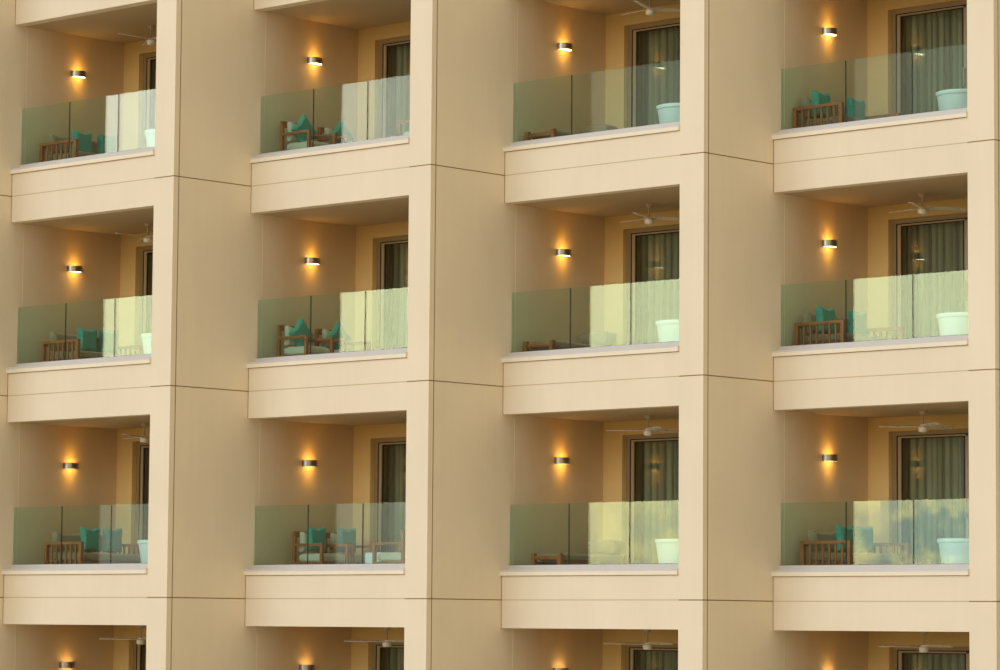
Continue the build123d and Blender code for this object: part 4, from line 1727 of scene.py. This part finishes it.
@dataclass
class WallLights(Part):
    """Half-round metal lights on the left wall of every balcony.

    Attributes:
        along: From the bay's front to a light's middle.
        height: Height of its middle.
        radius: How far it stands out.
        tall: Height of its shade.
        shell: Thickness of the shade.
        rim: Thickness of its ends against the wall, and how deep the lenses lie.
        lens_gap: Gap round a lens.
        lens: Thickness of a lens.
        power: Power of each beam, up and down.
        core: Power of the bright spot on the wall over and under the shade.
        spill: Power of what the lit walls of a recess give back.
        lowest: Share of the power on the lowest storey.
        glow: Colour of the light.
        spill_glow: Colour of what the walls give back.
        beam_place: How far a beam starts from the wall and from the middle's height, and its radius.
        beam_wide: Opening of a beam in degrees.
        core_place: The same three measures of a bright spot.
        spill_place: The same of what the walls give back.
    """

    along: float = 1.31
    height: float = 2.135
    radius: float = 0.143
    tall: float = 0.099
    shell: float = 0.004
    rim: float = 0.010
    lens_gap: float = 0.012
    lens: float = 0.006
    power: float = 2.3
    core: float = 0.9
    spill: float = 0.8
    lowest: float = 0.35
    glow: Colour = (1.0, 0.49, 0.0)
    spill_glow: Colour = (1.0, 0.52, 0.12)
    beam_place: Point = (0.095, 0.062, 0.05)
    beam_wide: float = 100.0
    core_place: Point = (0.085, 0.076, 0.055)
    spill_place: Point = (0.55, 0.15, 0.4)

    def build(self) -> None:
        """Make the metal shades, their lenses and the light that they give."""
        centre = Vector((0.0, self.along, self.height))
        turn = Matrix.Translation(centre) @ Matrix.Rotation(-math.pi / 2, 4, "Z")
        low, high = -self.tall / 2, self.tall / 2
        outer, inner, rim = self.radius, self.radius - self.shell, self.rim
        shade, lens = Shape(), Shape()
        shade.turned([(inner, low), (outer, low), (outer, high), (inner, high)], 28, math.pi)
        shade.mesh.transform(turn)
        for z in (self.height + low, self.height + (high - rim)):
            shade.box((0.0, self.along - inner, z), (0.012, self.along + inner, z + rim))
        edge = inner - self.lens_gap
        for z in (low + rim, high - rim - self.lens):
            lens.turned([(0.0001, z), (edge, z), (edge, z + self.lens), (0.0001, z + self.lens)], 24, math.pi)
        lens.mesh.transform(turn)
        self.put(shade, "wall_light_shades", "satin_steel", "satin_steel", "wall_lights")
        lenses = self.put(lens, "wall_light_lenses", "lamp_lens", "satin_steel", "wall_lights")
        lenses.visible_diffuse = False
        for corner in self.plan.everywhere():
            middle = corner + centre
            share = self.lowest if corner.z < self.plan.storey / 2 else 1.0
            for way in (1.0, -1.0):
                beam = self.light("wall_glow", "SPOT", middle, self.beam_place, way, share * self.power)
                beam.data.spot_size = math.radians(self.beam_wide)
                beam.data.spot_blend = 1.0
                beam.rotation_euler = (math.pi if way > 0 else 0.0, 0.0, 0.0)
                self.light("lamp_core", "POINT", middle, self.core_place, way, share * self.core)
            fill = self.light("recess_fill", "POINT", middle, self.spill_place, 1.0, self.spill)
            fill.data.color = self.spill_glow

    def light(self, name: str, kind: str, middle: Vector, place: Point, way: float, power: float) -> Piece:
        """Add a light that glass and metal don't mirror.

        Args:
            name: Name of the light.
            kind: Blender's name of its kind.
            middle: Middle of the wall light on the wall.
            place: How far it is from the wall and from the middle's height, and its radius.
            way: 1 for over the middle, -1 for under it.
            power: Its power.

        Returns:
            The light.
        """
        out, off, size = place
        data = bpy.data.lights.new(name, kind)
        data.energy = power
        data.color = self.glow
        data.shadow_soft_size = size
        made = add_object(name, data)
        made.visible_glossy = False
        made.location = middle + Vector((out, 0.0, way * off))
        return made


@dataclass
class Fans(Part):
    """Ceiling fans: the turned metal mounts and the rotors with their bowed blades.

    Attributes:
        across: From the bay's left edge to a fan.
        inward: From the bay's front to it.
        drop: From the ceiling down to the foot of the motor.
        rod: Radius of the rod.
        motor: Radius of the motor.
        motor_tall: Height of the motor.
        ring: Radius of the rotor's ring.
        ring_tall: Its height.
        tip: From the rod's middle to a blade's tip.
        root: From the rod's middle to a blade's root.
        root_chord: Width of a blade at its root.
        tip_chord: Width at its tip.
        thick: Thickness of a blade.
        bow: How far a blade bows up across its width.
        pitch: Turn of a blade about its length, in degrees.
        steps: Steps of the mesh along a blade.
        ribs: Steps of the mesh across it.
        blades: Number of blades.
        segments: Steps round the turned parts.
    """

    across: float = 1.59
    inward: float = 1.505
    drop: float = 0.29
    rod: float = 0.013
    motor: float = 0.068
    motor_tall: float = 0.062
    ring: float = 0.05
    ring_tall: float = 0.024
    tip: float = 0.66
    root: float = 0.042
    root_chord: float = 0.125
    tip_chord: float = 0.095
    thick: float = 0.006
    bow: float = 0.004
    pitch: float = -12.0
    steps: int = 16
    ribs: int = 6
    blades: int = 3
    segments: int = 28

    def build(self) -> None:
        """Make the fixed mounts and one rotor for each fan."""
        self.mounts()
        for (bay, storey), turn in FAN_TURNS.items():
            self.rotor(bay, storey, turn)

    def mounts(self) -> None:
        """Canopy with its rod, and motor housing, of every fan, each turned in one profile; the canopy takes
        a darker copy of the fan metal as painted shade.
        """
        top, low = self.motor_tall - self.drop, -self.drop
        housing = [(0.0001, low - 0.018), (0.030, low - 0.0175), (0.050, low - 0.013), (0.0615, low - 0.006),
                   (0.066, low + 0.002), (self.motor, low + 0.008), (self.motor, top - 0.010),
                   (0.066, top - 0.004), (0.058, top), (0.0001, top)]
        canopy = [(0.0001, top - 0.002), (self.rod, top - 0.002), (self.rod, -0.050), (0.026, -0.050),
                  (0.036, -0.046), (0.047, -0.034), (0.055, -0.016), (0.060, -0.004), (0.060, 0.0),
                  (0.0001, 0.0)]
        places = [self.plan.at(bay, storey) for bay, storey in FAN_TURNS]
        for name, profile, paint in (("fan_motors", housing, "fan_metal"),
                                     ("fan_canopies", canopy, "canopy_paint")):
            shape = Shape()
            shape.turned(profile, self.segments)
            shape.mesh.transform(Matrix.Translation((self.across, self.inward, self.plan.ceiling)))
            self.put(shape, name, paint, "fan_metal", "fan_mounts", places)

    def turned(self, degrees: float) -> Matrix:
        """Turn about the rod."""
        return Matrix.Rotation(math.radians(degrees), 4, "Z")

    def pitched(self) -> Matrix:
        """Turn of a blade about its own length."""
        return Matrix.Rotation(math.radians(self.pitch), 4, "X")

    def blade(self, shape: Shape, turn: float) -> None:
        """Add one blade: a thin bowed plank, rounded at its tip and pitched about its length.

        Args:
            shape: The shape that it goes into.
            turn: Its direction in degrees.
        """
        steps, ribs, root = self.steps, self.ribs, self.root
        rows = []
        for step in range(steps + 1):
            share = step / steps
            radius = root + (self.tip - 0.002 - root) * share
            chord = self.root_chord + (self.tip_chord - self.root_chord) * share
            left = self.tip - radius
            if left < 0.03:
                chord *= math.sqrt(max(0.0, 1 - ((0.03 - left) / 0.032) ** 2)) * 0.45 + 0.55
            rows.append([(radius, chord * (rib / ribs - 0.5), self.bow * (1 - (2 * rib / ribs - 1) ** 2))
                         for rib in range(ribs + 1)])
        place = self.turned(turn) @ self.pitched()
        under, over = ([[shape.mesh.verts.new(place @ Vector((x, y, z + lift - 0.002))) for x, y, z in row]
                        for row in rows] for lift in (-self.thick / 2, self.thick / 2))
        face = shape.mesh.faces.new
        for step in range(steps):
            after = step + 1
            for rib in range(ribs):
                face((over[step][rib], over[after][rib], over[after][rib + 1], over[step][rib + 1]))
                face((under[step][rib], under[step][rib + 1], under[after][rib + 1], under[after][rib]))
            for rib in (0, ribs):
                face((under[step][rib], under[after][rib], over[after][rib], over[step][rib]))
        for step in (0, steps):
            for rib in range(ribs):
                face((under[step][rib], under[step][rib + 1], over[step][rib + 1], over[step][rib]))

    def rotor(self, bay: int, storey: int, turn: float) -> None:
        """Make the turning part of one fan.

        Args:
            bay: Bay number.
            storey: Storey number.
            turn: Direction of one of its blades in degrees.
        """
        node = f"fan_rotor_{bay}{storey}"
        low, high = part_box(node)
        shape = Shape()
        bore, half = self.rod + 0.0006, self.ring_tall / 2
        shape.turned([(bore, -half), (self.ring - 0.004, -half), (self.ring, -half + 0.004),
                      (self.ring, half - 0.006), (self.ring - 0.006, half), (bore, half)], self.segments)
        for index in range(self.blades):
            way = turn + 360.0 / self.blades * index
            self.blade(shape, way)
            start = len(shape.mesh.verts)
            shape.box((0.040, -0.022, -0.0065), (0.115, 0.022, -0.0035))
            shape.mesh.verts.ensure_lookup_table()
            for vertex in shape.mesh.verts[start:]:
                vertex.co = self.turned(way) @ (self.pitched() @ vertex.co)
        middle = self.plan.at(bay, storey, (self.across, self.inward, 0.0))
        middle.z = (low.z + high.z) / 2
        piece = shape.piece(node + "_finished", self.paints["fan_metal"], Matrix.Translation(middle))
        smooth(piece)
        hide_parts(node)
        settle(piece, node)


@dataclass
class Tubs(Part):
    """White round tubs with a thick rolled rim.

    Attributes:
        bays: Bays that have one.
        storeys: Storeys that have one.
        across: From the bay's left edge to its middle.
        inward: From the bay's front to its middle.
        foot: Radius of its foot.
        rim: Radius of its rim.
        tall: Its height.
        segments: Steps round it.
    """

    bays: tuple[int, ...] = (1, 3, 4)
    storeys: tuple[int, ...] = (1, 2, 3)
    across: float = 2.70
    inward: float = 0.92
    foot: float = 0.275
    rim: float = 0.365
    tall: float = 0.565
    segments: int = 48

    def build(self) -> None:
        """Turn one tub and set it out."""
        shape = Shape()
        wall, tall = self.rim - 0.014, self.tall
        shape.turned([
            (0.0001, 0.0), (self.foot - 0.012, 0.0), (self.foot - 0.003, 0.003), (self.foot, 0.012),
            (wall - 0.004, tall - 0.062), (self.rim - 0.004, tall - 0.058), (self.rim, tall - 0.050),
            (self.rim, tall - 0.010), (self.rim - 0.003, tall - 0.003), (self.rim - 0.010, tall),
            (wall - 0.018, tall), (wall - 0.025, tall - 0.006), (wall - 0.028, tall - 0.066),
            (0.0001, tall - 0.066),
        ], self.segments)
        places = [self.plan.at(bay, storey, (self.across, self.inward, self.plan.floor))
                  for storey in self.storeys for bay in self.bays]
        self.put(shape, "tubs_turned", "tub_white", "tub_white", "tubs", places)


@dataclass
class Studio:
    """Floor, soft light and camera.

    Attributes:
        floor_size: Size of the floor.
        floor_level: Its height, just under the block.
        sun_power: Power of the broad light on the front.
        sun_spread: Its spread in degrees.
        sun_colour: Its colour.
        sky_power: Power of the even light from all round.
        sky_colour: Its colour.
        eye: Place of the camera.
        yaw: Turn of the camera to the left, in degrees.
        pitch: Tilt of the camera upward, in degrees.
        roll: Turn of the camera about its view, in degrees.
        lens: Focal length in millimetres, for a sensor 36 mm wide.
        card_way: Direction in which the evening card is.
        card_away: How far it is.
        card_drop: How far it is set down.
        card_radiance: How bright it is.
        card_size: Its width and height.
    """

    floor_size: float = 260.0
    floor_level: float = -0.004
    sun_power: float = 1.6
    sun_spread: float = 50.0
    sun_colour: Colour = (0.79, 0.86, 1.0)
    sky_power: float = 0.68
    sky_colour: Colour = (1.0, 0.90, 0.76)
    eye: Point = (34.629, -39.762, 2.786)
    yaw: float = 43.004
    pitch: float = 4.971
    roll: float = -0.459
    lens: float = 121.14
    card_way: Point = (-0.68, -0.73, 0.09)
    card_away: float = 110.0
    card_drop: float = 6.0
    card_radiance: float = 8.6
    card_size: tuple[float, float] = (150.0, 70.0)

    def build(self) -> None:
        """Set up the whole studio."""
        for make in (self.floor, self.world, self.sun, self.evening_card, self.camera):
            make()
        bpy.context.scene.view_settings.view_transform = "Standard"

    def floor(self) -> None:
        """Pale plain floor, which isn't part of the block."""
        material, sheet = new_sheet("studio_floor")
        grain = sheet.noise(sheet.points(), 0.4, 2.0)
        colour = sheet.blend(grain, (0.70, 0.63, 0.50), (0.73, 0.66, 0.53))
        surface = sheet.add("ShaderNodeBsdfPrincipled", Roughness=0.9, Base_Color=colour)
        sheet.add("ShaderNodeOutputMaterial", Surface=surface.outputs[0])
        half = self.floor_size / 2
        data = bpy.data.meshes.new("studio_floor")
        corners = ((-half, -half), (half, -half), (half, half), (-half, half))
        data.from_pydata([(x, y, self.floor_level) for x, y in corners], [], [(0, 1, 2, 3)])
        data.materials.append(material)
        add_object("studio_floor", data)

    def world(self) -> None:
        """Even sky, which shows as pale in the background and as a warm evening sky in glass and metal."""
        world = bpy.data.worlds.new("studio")
        bpy.context.scene.world = world
        world.use_nodes = True
        sheet = NodeSheet(world.node_tree)
        place = sheet.add("ShaderNodeTexCoord").outputs["Generated"]
        haze = sheet.add("ShaderNodeMapping", Scale=(9.0, 9.0, 34.0), Vector=place)
        clouds = sheet.noise(haze.outputs[0], 1.0, 4.0, 0.55)
        height = sheet.parts(place)[2]
        banks = sheet.spread(clouds, 0.42, 0.62, 0.0, 1.0)
        low_sky = sheet.blend(banks, (0.98, 0.90, 0.55), (0.52, 0.50, 0.40))
        evening = sheet.blend(sheet.spread(height, 0.02, 0.14, 0.0, 1.0), low_sky, (1.0, 0.94, 0.66))
        rays = sheet.add("ShaderNodeLightPath")
        light = sheet.add("ShaderNodeBackground", Color=(*self.sky_colour, 1.0), Strength=self.sky_power)
        shown = sheet.add("ShaderNodeBackground", Color=(0.93, 0.93, 0.92, 1.0), Strength=1.0)
        mirrored = sheet.add("ShaderNodeBackground", Color=evening, Strength=1.0)
        unseen = sheet.shaders(rays.outputs["Is Glossy Ray"], light.outputs[0], mirrored.outputs[0])
        seen = sheet.shaders(rays.outputs["Is Camera Ray"], unseen, shown.outputs[0])
        sheet.add("ShaderNodeOutputWorld", Surface=seen)

    def sun(self) -> None:
        """Broad soft light on the front."""
        data = bpy.data.lights.new("soft_front", "SUN")
        data.energy = self.sun_power
        data.angle = math.radians(self.sun_spread)
        data.color = self.sun_colour
        sun = add_object("soft_front", data)
        sun.rotation_mode = "QUATERNION"
        sun.rotation_quaternion = Vector((0.10, 1.0, -0.42)).to_track_quat("-Z", "Y")

    def evening_card(self) -> None:
        """Bright evening sky that only shows as a reflection in the glass, low down ahead of the fronts."""
        ahead = Vector(self.card_way).normalized()
        data = bpy.data.lights.new("evening_card", "AREA")
        data.shape = "RECTANGLE"
        data.size, data.size_y = self.card_size
        data.energy = math.pi * data.size * data.size_y * self.card_radiance
        data.use_nodes = True
        sheet = NodeSheet(data.node_tree)
        place = sheet.add("ShaderNodeNewGeometry").outputs["Parametric"]
        metres = sheet.add("ShaderNodeMapping", Location=(-data.size / 2, -data.size_y / 2, 0.0),
                           Scale=(data.size, data.size_y, 1.0), Vector=place).outputs[0]
        across, up, _ = sheet.parts(metres)
        high = sheet.spread(up, 17.0, 21.0, 0.0, 1.0)
        low = sheet.spread(up, 5.5, 9.0, 1.0, 0.0)
        fading = sheet.spread(across, -7.0, 4.0, 0.0, 0.93)
        opening = sheet.spread(across, -1.0, 4.0, 0.82, 0.0)
        level = sheet.product(sheet.sums("SUBTRACT", 1.0, sheet.product(high, fading)),
                              sheet.sums("SUBTRACT", 1.0, sheet.product(low, opening)))
        banks = sheet.product(sheet.spread(sheet.noise(metres, 0.45, 3.0, 0.6), 0.40, 0.56, 0.0, 0.9),
                              sheet.product(low, sheet.spread(across, 8.0, 19.0, 0.35, 1.0)))
        sky = sheet.blend(low, (1.0, 0.99, 0.58), (1.0, 0.88, 0.42))
        pale = sheet.sums("MAXIMUM", high, sheet.product(low, sheet.spread(across, -1.0, 2.0, 1.0, 0.0)))
        sky = sheet.blend(pale, sky, (0.95, 0.93, 0.76))
        tone = sheet.blend(banks, sky, (0.26, 0.38, 0.36))
        emission = sheet.add("ShaderNodeEmission", Color=tone, Strength=level)
        sheet.add("ShaderNodeOutputLight", Surface=emission.outputs[0])
        card = add_object("evening_card", data)
        card.location = ahead * self.card_away - Vector((0.0, 0.0, self.card_drop))
        card.rotation_mode = "QUATERNION"
        card.rotation_quaternion = ahead.to_track_quat("Z", "Y")
        card.visible_camera = card.visible_diffuse = card.visible_transmission = False
        card.visible_volume_scatter = card.visible_shadow = False
        panes = bpy.data.collections.new("mirroring_panes")
        for node in ("balustrade_glass", "door_glass"):
            panes.objects.link(frame["nodes"][node])
        card.light_linking.receiver_collection = panes

    def camera(self) -> None:
        """Camera at the photograph's place, with its yaw, pitch and roll in degrees."""
        yaw, pitch, roll = (math.radians(angle) for angle in (self.yaw, self.pitch, self.roll))
        ahead = Vector((-math.sin(yaw) * math.cos(pitch), math.cos(yaw) * math.cos(pitch), math.sin(pitch)))
        right = Vector((math.cos(yaw), math.sin(yaw), 0.0))
        down = -right.cross(ahead)
        side = right * math.cos(roll) + down * math.sin(roll)
        under = down * math.cos(roll) - right * math.sin(roll)
        data = bpy.data.cameras.new("camera")
        data.lens = self.lens
        data.sensor_width = 36.0
        data.clip_start, data.clip_end = 0.5, 600.0
        camera = add_object("camera", data)
        turn = Matrix((side, -under, -ahead)).transposed()
        camera.matrix_world = Matrix.Translation(self.eye) @ turn.to_4x4()
        bpy.context.scene.camera = camera


def main() -> None:
    """Build the whole scene in order."""
    logging.basicConfig(level=logging.INFO, format="%(name)s: %(message)s")
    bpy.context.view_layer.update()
    plan = read_plan()
    paints = Paints(plan)
    paints.dress_nodes()
    repeater = Repeater()
    for kind in (Woodwork, Padding, Curtains, Fittings, WallLights, Fans, Tubs):
        kind(plan, paints, repeater).build()
    Studio().build()


if __name__ == "__main__":
    main()
